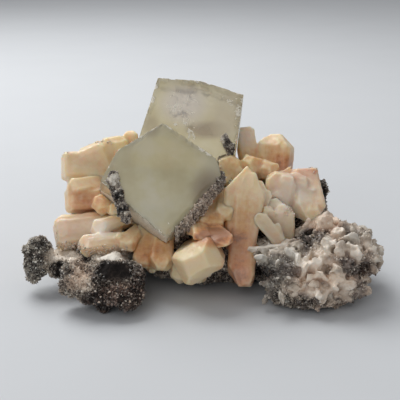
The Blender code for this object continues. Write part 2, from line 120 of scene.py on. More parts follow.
STILBITE_GROUPS = {
    "stilbite_tall_sheaf": [
        Blade((17, -24, -17), (21.3, 15.8, -17), 20.5, 11, gable=12, blunt=0.06, taper=0.55),
        Blade((20, -16, -13), (26.8, 9.4, -14), 10, 9, gable=5, blunt=0.4, taper=0.8),
        Blade((18.5, -10, -13), (18.4, -39.4, -27.5), 13, 10, gable=9, blunt=0.2, taper=0.8),
    ],
    "stilbite_front_point": [
        Blade(
            (1.5, -23, -14), (-1.5, -28.8, -41), 21.5, 17, (-0.5, 0.85, -0.3), gable=6, blunt=0.5, taper=0.85
        ),
        Blade((-2, -22, -14), (-12, -35.5, -25), 12, 8, gable=5, blunt=0.4),
        Blade((1, -24, -15), (-1, -37.5, -26.5), 9, 7, gable=4, blunt=0.4),
    ],
    "stilbite_low_pair": [
        Blade((-24, -12, -12), (-26, -30, -26), 10, 8, gable=3, blunt=0.55, taper=0.9),
        Blade((-16, -13, -13), (-17.6, -31.5, -30), 11.5, 9, gable=4.5, blunt=0.4, taper=0.9),
        Blade((-22, -16, -12), (-21.5, -33, -22), 8, 6, gable=3, blunt=0.4),
    ],
    "stilbite_under_calcite": [
        Blade((6, -2, -10), (4.5, -14.5, -27), 12.5, 10, gable=4, blunt=0.45),
        Blade((11, 0, -10), (11.2, -8, -24), 9, 8, gable=3, blunt=0.5),
        Blade((0, -8, -14), (-3, -16, -30), 8, 6, gable=3, blunt=0.4),
        Blade((2, -10, -20), (12.5, -20.5, -38), 11, 5, (0, 0.8, -0.6), gable=4, blunt=0.25),
        Blade((-2, -9, -20), (1.5, -18, -37), 9, 4.5, (0.2, 0.8, -0.6), gable=3, blunt=0.3),
    ],
    "stilbite_right_low": [
        Blade((37.5, -22, -11), (36.6, -1.6, -17), 12.5, 8, gable=4.5, blunt=0.3, taper=0.85),
        Blade((33, -14, -12), (29.4, -2.8, -21), 7, 5.5, gable=2.5, blunt=0.4),
        Blade((39, -23, -18), (25.4, -6, -23), 8, 3.5, gable=3, blunt=0.4, taper=0.9),
        Blade((34, -12, -12), (32.5, 1, -14), 11, 7, gable=3, blunt=0.5),
    ],
    "stilbite_right_fan": [
        Blade((33, -7, -6), (37.3, 12.5, -12), 15, 9, gable=4, blunt=0.55, taper=0.8),
        Blade((47, 7.5, -1), (49.6, -10, -15), 15.5, 12, (0.2, 0.2, -0.9), gable=7, blunt=0.2, taper=0.9),
        Blade((41, 2, -2), (45.5, 10.8, -10), 11.5, 8, gable=3, blunt=0.6),
        Blade((35, 11, 2), (53.5, 12.6, -1), 6, 5, gable=1.5, blunt=0.6, taper=0.9),
    ],
    "stilbite_upper_right": [
        Blade((33, 6, 14), (34.4, 30, 14), 18, 13, (-0.35, 0, -0.9), gable=6.5, blunt=0.35, taper=0.9),
        Blade((23.4, 8, 14), (19.6, 33, 15), 10.5, 8, (0.2, 0, -0.9), gable=2, blunt=0.6, taper=0.95),
        Blade((26, 8, 10), (21.4, 18.6, -6), 11.5, 10.5, (0.2, 0.9, -0.3), gable=4, blunt=0.5),
        Blade((32, 9, 8), (30.2, 15.6, -7), 10, 9.5, (0.2, 0.9, -0.3), gable=3.5, blunt=0.5),
        Blade((19, -2, 1), (11.5, 19.8, -5), 12, 9, gable=3.5, blunt=0.5, taper=0.9),
    ],
    "stilbite_left_block": [
        Blade((-31, 15, 11), (-62.2, 15.2, 1), 13.5, 13, (0.1, 0.2, -0.95), gable=1.2, blunt=0.85, taper=1.4),
        Blade((-34, 8, 8), (-59.8, 8.2, 1), 9, 10, gable=1.5, blunt=0.8),
        Blade((-36, 6, 9), (-39.5, 28.8, 5), 15, 11, (0.15, 0.1, -0.95), gable=3, blunt=0.6, taper=0.9),
        Blade((-29, 8, 12), (-31.5, 31.5, 10), 8, 7, gable=2, blunt=0.5),
        Blade((-42, 8, 8), (-50, 24.6, 2), 15, 11, (-0.1, 0.15, -0.95), gable=2.5, blunt=0.7, taper=0.95),
    ],
    "stilbite_left_middle": [
        Blade((-31, 0, 4), (-60.6, 0.6, -7), 13.5, 12, (0, 0.3, -0.9), gable=2, blunt=0.7, taper=1),
        Blade((-44, 7, 2), (-58.8, 5, -9.5), 9, 8, (-0.1, 0.4, -0.9), gable=2, blunt=0.6, taper=1),
        Blade((-36, 1, 0), (-47.5, -3.5, -13), 10, 8, (0.1, 0.5, -0.8), gable=3, blunt=0.5),
        Blade((-32, -3, 0), (-40, -6, -16), 8, 7, (0.2, 0.6, -0.7), gable=3, blunt=0.4),
    ],
    "stilbite_left_foot": [
        Blade(
            (-42, -12.5, -6), (-65.5, -15.5, -14), 16.5, 12, (0, 0.35, -0.9), gable=4, blunt=0.7, taper=0.9
        ),
        Blade((-33, -9, -10), (-48.5, -14.5, -21), 9.5, 9, (0, 0.5, -0.8), gable=3, blunt=0.5),
        Blade(
            (-28.5, -18.5, -17), (-54.5, -20.8, -27), 10, 9, (0, 0.6, -0.8), gable=3, blunt=0.55, taper=0.9
        ),
        Blade((-28, -14, -12), (-34, -21, -27), 9, 7, (0, 0.7, -0.7), gable=3, blunt=0.6),
    ],
    "stilbite_back_left": [
        Blade((-34, -2, 34), (-48, 12, 46), 15, 10, (0.4, 0.9, 0), gable=5, blunt=0.35),
        Blade((-30, 0, 34), (-30, 15, 52), 15, 10, UPWARDS, gable=6, blunt=0.3),
        Blade((-40, -6, 30), (-60, -2, 40), 13, 9, (-0.3, 0.9, 0.2), gable=5, blunt=0.4),
        Blade((-34, -8, 34), (-42, -4, 56), 12, 9, (0, 0.9, 0.4), gable=4, blunt=0.4),
        Blade((-40, 2, 26), (-58, 12, 26), 12, 9, (0.2, 0.9, 0), gable=4, blunt=0.45),
    ],
    "stilbite_back_middle": [
        Blade((-8, 0, 38), (-10, 18, 54), 17, 12, UPWARDS, gable=6, blunt=0.3),
        Blade((2, -2, 38), (9, 14, 56), 14, 10, (0.3, 0.9, 0), gable=5, blunt=0.35),
        Blade((-10, -6, 40), (-17, 2, 60), 14, 10, (0, 0.8, 0.5), gable=6, blunt=0.3),
        Blade((0, -8, 40), (1, -6, 62), 13, 9, (0, 0.9, 0.4), gable=5, blunt=0.4),
    ],
    "stilbite_back_right": [
        Blade((28, 0, 32), (30, 18, 44), 17, 11, (0.2, 0.9, 0), gable=6, blunt=0.3),
        Blade((34, -4, 30), (47, 10, 34), 14, 10, (0.4, 0.9, 0), gable=5, blunt=0.4),
        Blade((26, -6, 36), (27, 2, 58), 14, 10, (0, 0.8, 0.5), gable=5, blunt=0.35),
        Blade((34, -10, 34), (50, -4, 46), 13, 9, (0.3, 0.9, 0.2), gable=4, blunt=0.4),
    ],
}

# The bladed crust on the right, a heap of short pale blades on two lumps.
CRUST_LUMPS = [
    Lump((56, -30, 16.5), (18, 15, 11.5), 31, rough=0.2, grain=2.2),
    Lump((38, -36, 12), (15, 11, 9), 32, rough=0.22, grain=2.2),
]
CRUST_BLADES = [
    Blade((46, -14, -14), (61, -5.5, -17), 6.5, 5, (0.2, 0.7, -0.7), gable=2, blunt=0.5),
    Blade((52, -22, -20), (56.5, -6.5, -23), 7, 6, (0.5, 0.2, -0.8), gable=2, blunt=0.6),
    Blade((60, -28, -22), (67, -8.5, -18), 9, 7, (0.4, 0.3, -0.8), gable=2, blunt=0.5),
    Blade((65, -27, -22), (61, -11, -28), 8, 6.5, (0.3, 0.3, -0.9), gable=2.5, blunt=0.5),
    Blade((53.5, -20, -26), (47.5, -39.5, -35), 9, 8, (0.3, 0.4, -0.85), gable=3, blunt=0.55),
    Blade((58, -20, -26), (55.5, -30, -39), 8, 6, (0.3, 0.6, -0.7), gable=2, blunt=0.6),
    Blade((61, -22, -24), (69, -26, -35), 9, 8, (0.1, 0.8, -0.6), gable=3, blunt=0.5),
    Blade((64, -22, -18), (76, -22, -26), 9, 8, (0.2, 0.8, -0.6), gable=3, blunt=0.5),
    Blade((54, -32, -31), (70.5, -37, -34), 5.5, 5, (0, 0.6, -0.8), gable=1.5, blunt=0.6),
    Blade((49, -32, -28), (42, -41.5, -36), 9, 7, (0.2, 0.7, -0.7), gable=3, blunt=0.5),
    Blade((56, -34, -27), (56, -44, -35), 12, 8, (0, 0.7, -0.7), gable=3, blunt=0.5),
    Blade((61, -34, -25), (68, -43.5, -31), 9, 7, (0.3, 0.7, -0.7), gable=3, blunt=0.5),
    Blade((40, -20, -22), (20, -22.8, -28), 4.5, 3.5, (0, 0.9, -0.4), gable=1.5, blunt=0.4, taper=1),
    Blade((44, -23, -23), (28.5, -26, -31), 8, 7, (0, 0.7, -0.7), gable=3, blunt=0.5),
    Blade((42.5, -27, -22), (43, -17.5, -28), 5, 4.5, (0.2, 0.2, -0.9), gable=1.5, blunt=0.5),
    Blade((42, -34, -24), (31, -41, -36), 8, 6, (0, 0.8, -0.6), gable=2, blunt=0.5),
    Blade((60, -32, -24), (77, -36, -28), 8, 6, (0, 0.6, -0.8), gable=2, blunt=0.5),
    Blade((60, -24, -14), (78, -20, -18), 10, 7, (0.2, 0.8, -0.6), gable=3, blunt=0.4),
    Blade((64, -28, -18), (82.6, -29.5, -16), 9, 8, (0.2, 0.7, -0.6), gable=3, blunt=0.3),
    Blade((62, -16, -4), (76, -14, 2), 9, 7, (0.2, 0.9, -0.2), gable=2, blunt=0.5),
]

# Small dark crusts that grew on the calcite rhombs, as rows of lumps with a place and radii.
RHOMB_CRUSTS = {
    "druse_on_front_rhomb_left": [
        ((-38.9, 9.4, -25.6), (2.9, 3.0, 3.6)),
        ((-38.2, 5.8, -26.2), (2.7, 2.6, 3.8)),
        ((-37.0, 2.4, -26.8), (2.9, 2.8, 4.0)),
        ((-35.9, -1.0, -27.4), (2.5, 2.6, 4.0)),
        ((-34.6, -4.4, -28.0), (2.7, 2.6, 4.0)),
        ((-33.0, -7.4, -28.4), (2.3, 2.4, 3.8)),
    ],
    "druse_on_front_rhomb_right": [
        ((9.9, 9.2, -23.6), (1.7, 2.0, 3.8)),
        ((8.1, 6.6, -24.2), (2.0, 2.1, 4.0)),
        ((6.1, 4.1, -24.8), (1.8, 2.0, 4.2)),
        ((4.2, 1.7, -25.4), (2.1, 2.2, 4.4)),
        ((2.2, -0.8, -26.1), (1.9, 2.1, 4.4)),
        ((0.2, -3.2, -26.8), (2.1, 2.2, 4.4)),
        ((-1.8, -5.7, -27.5), (1.8, 2.0, 4.4)),
        ((-3.8, -8.1, -28.2), (2.0, 2.0, 4.2)),
        ((-5.8, -10.5, -28.9), (1.7, 1.9, 4.2)),
        ((-8.0, -13.0, -29.6), (1.6, 1.8, 4.0)),
        ((-10.2, -15.4, -30.4), (1.3, 1.5, 3.8)),
    ],
    "druse_on_back_rhomb": [
        ((11.0, 27.4, -4.0), (1.9, 1.8, 2.6)),
        ((12.2, 25.0, -4.4), (2.0, 1.8, 2.8)),
        ((13.6, 22.6, -4.8), (2.2, 1.7, 2.8)),
    ],
}

# How much the sugar on each of them varies, from dark to white.
CRUST_CONTRAST = {
    "druse_on_front_rhomb_left": 0.6, "druse_on_front_rhomb_right": 0.22, "druse_on_back_rhomb": 0.8,
}

MATRIX_LUMPS = [
    Lump((-6, 12, 13), (54, 30, 14), 1, rough=0.1, grain=2.2),
    Lump((-44, 2, 19), (17, 22, 11), 2),
    Lump((-2, 4, 28), (28, 22, 16), 3),
    Lump((34, 6, 27), (22, 20, 16), 4),
    Lump(
        (-37, -42, 11), (16.5, 15, 12), 5, rough=0.14, grain=2.4,
        dents=(Dent((0.25, -0.85, 0.45), 50, 0.45),),
    ),
    Lump((-51, -43.5, 13), (8.5, 8.5, 9.5), 21, rough=0.2),
    Lump((-30, -49.5, 7.5), (8, 6.5, 7.5), 23, rough=0.2),
    Lump((-58, -21, 11.5), (11, 12, 8), 6, rough=0.18),
    Lump((-70, -25, 15), (8, 9, 10), 7, rough=0.2, grain=2.2),
    Lump((-42, -24, 12.5), (14, 14, 8.5), 8),
    Lump((47, -37, 7), (21, 15, 10), 9, rough=0.18, grain=2.2),
    Lump((60, -20, 13), (15, 18, 13), 10, rough=0.18, grain=2.2),
    Lump((50, 4, 33), (8.6, 9.5, 13), 11, rough=0.2, grain=2.2),
    Lump((49, 10, 14), (18, 24, 14), 12, rough=0.14, grain=2.0),
    Lump((-28, 32, 14), (28, 20, 13), 13, rough=0.16, grain=2.0),
    Lump((12, 34, 13), (30, 19, 13), 14, rough=0.16, grain=2.0),
    Lump((8, -21, 15.5), (28, 12, 8), 15, rough=0.14),
    Lump((4, -13, 7), (32, 14, 8), 16, rough=0.16),
]

# How the colours run over the specimen. A zone has its middle and its reach, across and up, the values that
# it gives there, and the depth that it ends at.
Zone = namedtuple("Zone", "middle reach values behind", defaults=(60,))


def zones(rows):
    """Zones from rows of numbers: two for the middle, two for the reach, and then the values."""
    return [Zone(row[:2], row[2:4], row[4:]) for row in rows]


# For druse the values are its shade, from black to white, and its warmth.
PLAIN_DRUSE = (0.4, 0.3)
DRUSE_ZONES = zones([
    (-38, -32, 9, 5, -0.15, 0.2), (-47.5, -28, 2.4, 4.5, 0.75, 0.3), (-40, -25.3, 9.5, 2, 1.35, 0.3),
    (-29, -29, 3, 6, 0.55, 0.2), (-55, -34, 6, 7.5, 0.7, 0.85), (-54, -42, 4, 3.5, 0.5, 0.3),
    (-60, -31, 2.5, 4, 0.8, 0.1), (-49, -45, 4, 4, 0.1, 0.5), (-38, -41, 9, 4, 0.2, 0.8),
    (-38, -50, 12, 6, 0.08, 0.7), (-26, -40, 4, 9, 0.1, 0.8), (-77, -20, 5, 5, 0.52, 0.05),
    (-70, -21, 3, 4, 0.2, 0.0), (-75, -31, 5, 6, 0.3, 0.0), (-67, -29, 3, 5, 0.75, 0.3),
    (-61, -24.5, 8, 3, 1.15, 0.6), (-62, -31.5, 5, 4, -0.1, 0.1), (-50, -24.5, 3.4, 3.4, -0.15, 0.1),
    (-38.6, 9.6, 2.8, 2.6, 0.95, 0.2), (-36, -1, 3.4, 7.5, 0.16, 0.2), (-1, -4, 13, 14, 0.58, 0.6),
    (13, 25, 4, 4, 0.5, 0.3), (32, -22, 10, 4, 0.85, 0.25), (34, -27, 9, 4, 0.6, 0.15),
    (29, -32, 6, 3.6, 0.0, 0.2), (35, -37, 8, 4, 0.5, 0.1), (32, -43, 9, 4, 0.5, 0.2),
    (43, -25, 2.6, 5, 1.0, 0.3), (48, -17, 3, 4.5, 0.02, 0.3), (54, -10, 9, 4, 0.75, 1.2),
    (61, -15, 4, 5, 1.0, 0.7), (54, -26, 7, 7, 1.15, 0.55), (49, -34, 6, 7, 1.05, 0.9),
    (42, -39, 6, 4, 1.15, 0.8), (64, -26, 6, 5, 0.68, 0.6), (62, -35.5, 8, 2.6, 1.0, 1.3),
    (58, -41, 11, 4, 1.1, 0.6), (69, -15, 6, 5, 0.6, 0.3), (75, -23, 7, 5, 0.85, 0.5),
    (67, -28, 3, 2.4, 0.1, 0.5), (75, -31, 6, 3, 0.35, 0.6), (76, -38, 8, 6, 0.5, 0.5),
    (62, -49, 12, 4, 0.6, 0.6), (55, 8, 3, 9, 0.1, 0.3),
])
# For calcite the values are the brown stain, the haze, and the paleness of the side faces, which is worked
# out. The stain of the zone at 3 across and 31.5 up, on the back rhomb, is painted shadow in a cleavage step.
CALCITE_ZONES = [Zone((4.5, 3), (8, 11), (0.72, 0, 0), -4)]
CALCITE_ZONES += zones([
    (-7, 43, 11, 9, 0, 0.9, 0), (3, 31.5, 9, 4, 0.75, 0, 0), (13, 38, 8, 12, 0.28, 0.25, 0),
    (-22, 33, 4, 5, 0.4, 0, 0),
])
# Healed fractures that reach the front faces of the rhombs and show as fine white wisps: middles and reaches.
CALCITE_WISPS = zones([
    (-9, 35, 6, 1.8, 1), (-4, 30, 2, 3.5, 1), (-8, 43, 9, 7, 0.42), (12, 45, 7, 5, 0.3),
    (17.5, 37, 1.8, 9, 0.8), (-14, -13, 5, 4, 0.3),
])
# For stilbite the values are pink, the depth of the orange, and pearly white. Low down and between crystals,
# as in the zones at 6 across 17 down and at 17 across 33 down, the deep orange is partly painted shade, and
# the pearl of the zone at 36 across 12 down is partly painted light on a crystal that lies in shade.
PLAIN_STILBITE = (0.3, 0.35, 0.2)
STILBITE_ZONES = zones([
    (-50, 18, 14, 11, 0.25, 0.15, 0.5), (-40, 26, 8, 6, 0.0, 0.2, 0.05), (-53, 0, 11, 6, 0.55, 0.55, 0.0),
    (-54, -2, 4, 4, 0.6, 1.15, 0.0), (-43, -4, 6, 5, 0.1, 0.65, 0.15), (-57, -11, 10, 4, 0.95, 0.05, 0.65),
    (-57, -17, 9, 5, 0.9, 0.2, 0.5), (-45, -13, 7, 5, 0.3, -0.1, 1.5), (-43, -21, 10, 4, 0.5, 0.45, 0.2),
    (-22, -24, 11, 8, 0.1, 0.9, 0.0), (-1, -27, 10, 11, 0.0, 0.15, 0.35), (6, -9, 10, 4, 0.15, 0.75, 0.0),
    (6, -17, 10, 4, 0.6, 1.9, -0.4), (20, 9, 11, 7, 0.1, 0.2, 0.4), (19, -9, 9, 10, 0.2, 0.5, 0.15),
    (18, -20, 8, 6, 0.55, 0.9, 0.05), (17, -33, 8, 9, 0.85, 1.2, -0.1), (21, 28, 7, 6, 0.4, -0.1, 1.2),
    (34, 27, 9, 7, 0.05, 0.4, 0.2), (35, 17, 9, 5, 0.2, 0.85, 0.0), (13, 17, 6, 7, 0.05, 0.5, 0.15),
    (21, 19, 6, 5, 0.0, 0.6, -0.2), (30, 14, 5, 5, 0.8, 0.5, 0.1), (47, 12, 9, 3.5, 1.3, 0.6, 0.0),
    (42, 3, 12, 9, 0.7, -0.05, 1.2), (50, -6, 7, 5, 0.2, 0.5, 0.3), (36, -12, 8, 10, 0.35, 0.1, 0.8),
    (30, -14, 6, 6, 0.9, 0.1, 0.5),
])

# Where white sugar lies on the stilbite: next to the druse, and on a few weathered ends.
FROST_ZONES = zones([
    (-42, -23, 11, 3, 1.2), (-58, -21, 7, 2.6, 1.2), (-63, -14, 2.5, 5, 0.5), (-61, 20, 4, 3, 0.5),
    (-46, 26, 12, 2, 0.45), (8, 15, 3, 8, 0.8), (22, -13.5, 1.5, 1.5, 0.6), (40, -5, 3, 3, 0.6),
    (-22, -35, 6, 2, 0.5), (52, 14, 4, 2, 0.7),
])


# Numbers and directions.


def unit(vectors):
    """Vectors scaled to length one."""
    vectors = np.asarray(vectors, float)
    return vectors / np.linalg.norm(vectors, axis=-1, keepdims=True)


def smoothstep(low, high, values):
    """Nought below low, one above high, and a smooth rise in between."""
    share = np.clip((values - low) / (high - low), 0, 1)
    return share * share * (3 - 2 * share)


def seen(across, up, back):
    """The row-frame point, in millimetres, that the viewer sees at that place, that far behind the middle."""
    spread = 1 + back / SIGHT_DISTANCE
    return SIGHT_CENTRE + back * AWAY + spread * (across * ACROSS + up * UP)


def way_of(across, up, back):
    """A direction given across, up and back, in the row frame."""
    return across * ACROSS + up * UP + back * AWAY


def sight_of(points):
    """The reverse of seen, for many points: across, up and back as the columns of an array."""
    offset = points - SIGHT_CENTRE
    back = offset @ AWAY
    spread = 1 + back / SIGHT_DISTANCE
    return np.stack([offset @ ACROSS / spread, offset @ UP / spread, back], axis=1)


def value_noise(points, seed):
    """Smooth noise from -1 to 1: a random number at each point of a unit lattice, blended by cubic
    weights."""
    cell = np.floor(points).astype(np.int64)
    part = points - cell
    part = part * part * (3 - 2 * part)
    total = np.zeros(len(points))
    for corner in np.ndindex(2, 2, 2):
        key = (cell + corner) * (73856093, 19349663, 83492791)
        mixed = key[:, 0] ^ key[:, 1] ^ key[:, 2] ^ (seed * 9176213)
        mixed = (mixed ^ (mixed >> 13)) * 1274126177
        value = ((mixed >> 8) & 0xFFFF) / 32767.5 - 1
        total += value * np.prod(np.where(corner, part, 1 - part), axis=1)
    return total


def rough_noise(points, sizes, seed):
    """The sum of value noise at several grain sizes, each weighted by its size: the surface of broken
    rock."""
    layers = [
        size * value_noise(points / size + 31.7 * order, seed + order) for order, size in enumerate(sizes)
    ]
    return np.sum(layers, axis=0) / sum(sizes)


# Crystals.

# A closed surface, whose triangles face outwards.
Surface = namedtuple("Surface", "points triangles")


def ball_directions(rows, columns, stretch):
    """Directions to the points of a sphere grid stretched along its three axes, pole to pole down the
    third."""
    latitudes = np.linspace(0, math.pi, rows + 1)[1:-1]
    longitudes = np.linspace(0, math.tau, columns, endpoint=False)
    polar, around = np.meshgrid(latitudes, longitudes, indexing="ij")
    ball = [np.sin(polar) * np.cos(around), np.sin(polar) * np.sin(around), np.cos(polar)]
    rings = np.stack(ball, axis=-1).reshape(-1, 3)
    return unit(np.vstack([[0, 0, 1], rings, [0, 0, -1]]) * stretch)


def ball_triangles(rows, columns):
    """The triangles of a sphere grid whose poles are single points, facing outwards."""
    ring = 1 + np.arange((rows - 1) * columns).reshape(rows - 1, columns)
    turned = np.roll(ring, -1, axis=1)
    a, b, c, d = ring[:-1].ravel(), turned[:-1].ravel(), turned[1:].ravel(), ring[1:].ravel()
    top, last = np.zeros(columns, int), np.full(columns, 1 + ring.size)
    fans = [np.stack([top, ring[0], turned[0]], 1), np.stack([last, turned[-1], ring[-1]], 1)]
    return np.vstack([np.stack([a, d, c], 1), np.stack([a, c, b], 1)] + fans)


def soft_facets(directions, normals, distances, sharpness):
    """How far the surface of a solid of flat faces lies in each direction: one over the p-norm, over all
    faces, of the direction's cosine to the face divided by the face's distance. A high power gives crisp
    edges."""
    nearness = np.clip(directions @ normals.T, 0, None) / distances
    nearest = nearness.max(axis=1, keepdims=True)
    return ((nearness / nearest) ** sharpness).sum(axis=1) ** (-1 / sharpness) / nearest[:, 0]


def blade_faces(length, width, thick, gable, blunt, taper):
    """The outward normals of a blade's faces and their distances from a point on its axis."""
    shoulder = length - gable
    half_width, half_thick = width / 2, thick / 2
    bevel = 0.3 * half_thick
    lean = half_width * (1 - taper) / (shoulder + ROOT)
    end_width, end_thick = half_width * blunt, half_thick * max(blunt, 0.3)
    faces = [((0, 0, 1), (0, 0, length)), ((0, 0, -1), (0, 0, -ROOT))]
    for way in (-1, 1):
        faces += [
            ((0, way, 0), (0, way * half_thick, 0)),
            ((way, 0, -lean), (way * half_width, 0, shoulder)),
            ((way * gable, 0, half_width - end_width), (way * half_width, 0, shoulder)),
            ((0, way * gable, half_thick - end_thick), (0, way * half_thick, shoulder)),
        ]
        for over in (-1, 1):
            edge = (way * (half_width - bevel), over * half_thick, shoulder)
            faces.append(((way, over, -lean), edge))
    normals = unit([normal for normal, point in faces])
    points = np.array([point for normal, point in faces], float)
    centre = np.array([0, 0, 0.6 * shoulder])
    return centre, normals, np.einsum("ij,ij->i", normals, points - centre)


def blade_axes(foot, tip, out):
    """The blade's own axes as rows: side, out and along."""
    along = unit(tip - foot)
    out = unit(out - along * (out @ along))
    return np.array([np.cross(out, along), out, along])


def turn_matrix(angles):
    """A small turn about three axes, in radians, as the rows of a matrix."""
    (a, b, c), turn = angles, np.eye(3)
    turn += [[0, -c, b], [c, 0, -a], [-b, a, 0]]
    axes, lengths = np.linalg.qr(turn)
    return axes * np.sign(np.diag(lengths))


# The share of a blade's width and thickness that its core has. Thinner members fill the rest.
CORE_WIDTH, CORE_THICK = 0.97, 0.93


def core_faces(blade, length):
    """The faces of a blade's core, and the height of its gable, which is at most 70 % of the length."""
    gable = min(blade.gable, 0.7 * length)
    width, thick = CORE_WIDTH * blade.width, CORE_THICK * blade.thick
    return blade_faces(length, width, thick, gable, blade.blunt, blade.taper), gable


# How a blade is built up and worn: the number of its members, the sharpness of their edges, and in
# millimetres the depth of its flat terraces, of the steps at its end, of its lengthwise ridges and of its
# broad roll.
Wear = namedtuple("Wear", "members sharpness terrace step ridge roll")
STILBITE_WEAR = Wear(members=1.6, sharpness=95, terrace=0.3, step=0.5, ridge=0.12, roll=0.65)
SHEAF_WEAR = Wear(members=5, sharpness=80, terrace=0.2, step=0.9, ridge=0.2, roll=0.45)
CRUST_WEAR = Wear(members=9, sharpness=90, terrace=0.7, step=2.4, ridge=0.2, roll=0.5)
SPROUT_WEAR = Wear(members=1, sharpness=60, terrace=0.12, step=0.3, ridge=0.05, roll=0.15)


def member_reach(directions, centre, blade, length, wear, draw):
    """The reach of one of the thinner crystals that a blade is built of. It is turned a few degrees and moved
    aside, and the blade's centre stays inside it, so that the blade with all its members is still
    star-shaped."""
    narrow, flat, short = draw.uniform((0.42, 0.95, 0.0), (0.8, 1.03, 0.14))
    gable = min(blade.gable, 0.5 * length) * draw.uniform(0.4, 1)
    blunt = min(0.75, blade.blunt + draw.uniform(0, 0.3))
    own_centre, normals, distances = blade_faces(
        length * (1 - short), blade.width * narrow, blade.thick * flat, gable, blunt, blade.taper ** 0.5
    )
    normals = normals @ turn_matrix(np.radians(draw.normal(0, (0.8, 2, 2.5)))).T
    room = min(0.5 * (1 - narrow), 0.45 * narrow) * blade.width
    offset = np.array([draw.uniform(-room, room), draw.uniform(-0.05, 0.05) * blade.thick, 0])
    distances = distances + normals @ (own_centre + offset - centre)
    return soft_facets(directions, normals, np.maximum(distances, 0.4), wear.sharpness)


# Every blade reads its noise this many millimetres from where the one before it does, so that no two are
# alike.
NOISE_SHIFT = 17.3


def grown_blade(foot, tip, out, blade, spacing, wear, seed):
    """One stilbite blade: the union of a core and of thinner members along it, each a soft_facets solid, so
    the reach in a direction is the greatest of theirs. The surface is then lowered by flat terraces, by
    lengthwise ridges, by steps at the end that depend only on the place across the blade, and by a broad
    roll."""
    draw = np.random.default_rng(seed)
    length = np.linalg.norm(tip - foot)
    (centre, normals, distances), gable = core_faces(blade, length)
    columns = int(np.clip(2 * (blade.width + blade.thick) / spacing, 14, 110))
    rows = int(np.clip((length + ROOT + 0.7 * blade.width) / spacing, 12, 100))
    directions = ball_directions(rows, columns, (blade.width / 2, blade.thick / 2, length / 2))
    reach = soft_facets(directions, normals, distances, wear.sharpness)
    flatness = 1 - min(1, blade.thick / blade.width)
    for _ in range(round(wear.members * (0.4 + flatness))):
        reach = np.maximum(reach, member_reach(directions, centre, blade, length, wear, draw))
    local = centre + directions * reach[:, None]
    side, out_of, along = local.T
    shift = NOISE_SHIFT * (seed % 997)
    terraces = np.round(2.4 * value_noise(local / (4.5, 4.5, 9) + shift, seed)) / 2.4
    ridges = value_noise(np.stack([side / 1.6 + shift, out_of / 1.6, along / 26 + shift], 1), seed + 3)
    roll = rough_noise(local + shift, (8, 3.5), seed + 2)
    drawn_in = wear.terrace * (0.5 + 0.5 * terraces) + wear.ridge * (1 + ridges)
    drawn_in += wear.roll * (0.5 + 0.5 * roll)
    across = np.hypot(side, out_of)
    local[:, :2] *= (1 - drawn_in / np.maximum(across, 2))[:, None]
    cells = np.floor(np.stack([side / 2.4 + shift, out_of / 2.8 + shift, 0 * side], 1)) + 0.5
    steps = 0.5 + 0.5 * value_noise(cells, seed + 9)
    local[:, 2] -= wear.step * steps * smoothstep(length - gable - 1.5, length, along)
    return Surface(foot + local @ blade_axes(foot, tip, out), ball_triangles(rows, columns))


# The sharpness at which owner_places takes the blades' faces.
OWNER_SHARPNESS = 40


def owner_places(points, bodies):
    """For points on a fused group: which blade each belongs to, which is the one whose surface passes nearest
    to it, and from that its place in the blade's own axes and its share of the way from foot to tip."""
    best = np.full(len(points), np.inf)
    place, growth = np.zeros((len(points), 3)), np.zeros(len(points))
    for number, body in enumerate(bodies):
        local = (points - body.foot) @ body.axes.T
        offset = local - body.centre
        distance = np.linalg.norm(offset, axis=1)
        ways = offset / np.maximum(distance, 1e-6)[:, None]
        reach = soft_facets(ways, body.normals, body.distances, OWNER_SHARPNESS)
        misfit = np.abs(distance - reach)
        nearer = misfit < best
        best[nearer] = misfit[nearer]
        place[nearer] = local[nearer] + NOISE_SHIFT * number
        growth[nearer] = np.clip(local[nearer, 2] / body.length, 0, 1)
    return place, growth


def fused(surfaces, voxel):
    """Fuses overlapping closed surfaces into one: Blender's voxel remesh of them all, at that voxel size.
    Gives the points, the triangles and Blender's normals at the points."""
    whole = joined(surfaces)
    draft = mesh_object("draft", whole.points, whole.triangles, True, {})
    remesh = draft.modifiers.new("fuse", "REMESH")
    remesh.mode, remesh.voxel_size, remesh.adaptivity = "VOXEL", voxel * MM, 0.0
    shaped = bpy.data.meshes.new_from_object(draft.evaluated_get(bpy.context.evaluated_depsgraph_get()))
    points, ways = np.empty((2, 3 * len(shaped.vertices)), np.float32)
    shaped.vertices.foreach_get("co", points)
    shaped.vertices.foreach_get("normal", ways)
    shaped.calc_loop_triangles()
    triangles = np.empty(3 * len(shaped.loop_triangles), np.int32)
    shaped.loop_triangles.foreach_get("vertices", triangles)
    bpy.data.objects.remove(draft)
    bpy.data.meshes.remove(shaped)
    return points.reshape(-1, 3).astype(float) / MM, triangles.reshape(-1, 3).astype(int), ways.reshape(-1, 3)


def outward_ways(points, triangles):
    """The outward way at each point of a surface: the sum of the area-weighted normals of its triangles."""
    a, b, c = points[triangles].transpose(1, 0, 2)
    normals = np.cross(b - a, c - a)
    sums = [
        sum(np.bincount(triangles[:, corner], normals[:, axis], len(points)) for corner in range(3))
        for axis in range(3)
    ]
    return unit(np.stack(sums, axis=1) + 1e-12)


def neighbour_means(values, triangles):
    """For each point, the mean of the values at the points next to it."""
    own, other = triangles[:, [0, 1, 2]].ravel(), triangles[:, [1, 2, 0]].ravel()
    counts = np.bincount(own, minlength=len(values))
    sums = [np.bincount(own, column[other], len(values)) for column in values.T]
    return (np.array(sums) / np.maximum(counts, 1)).T


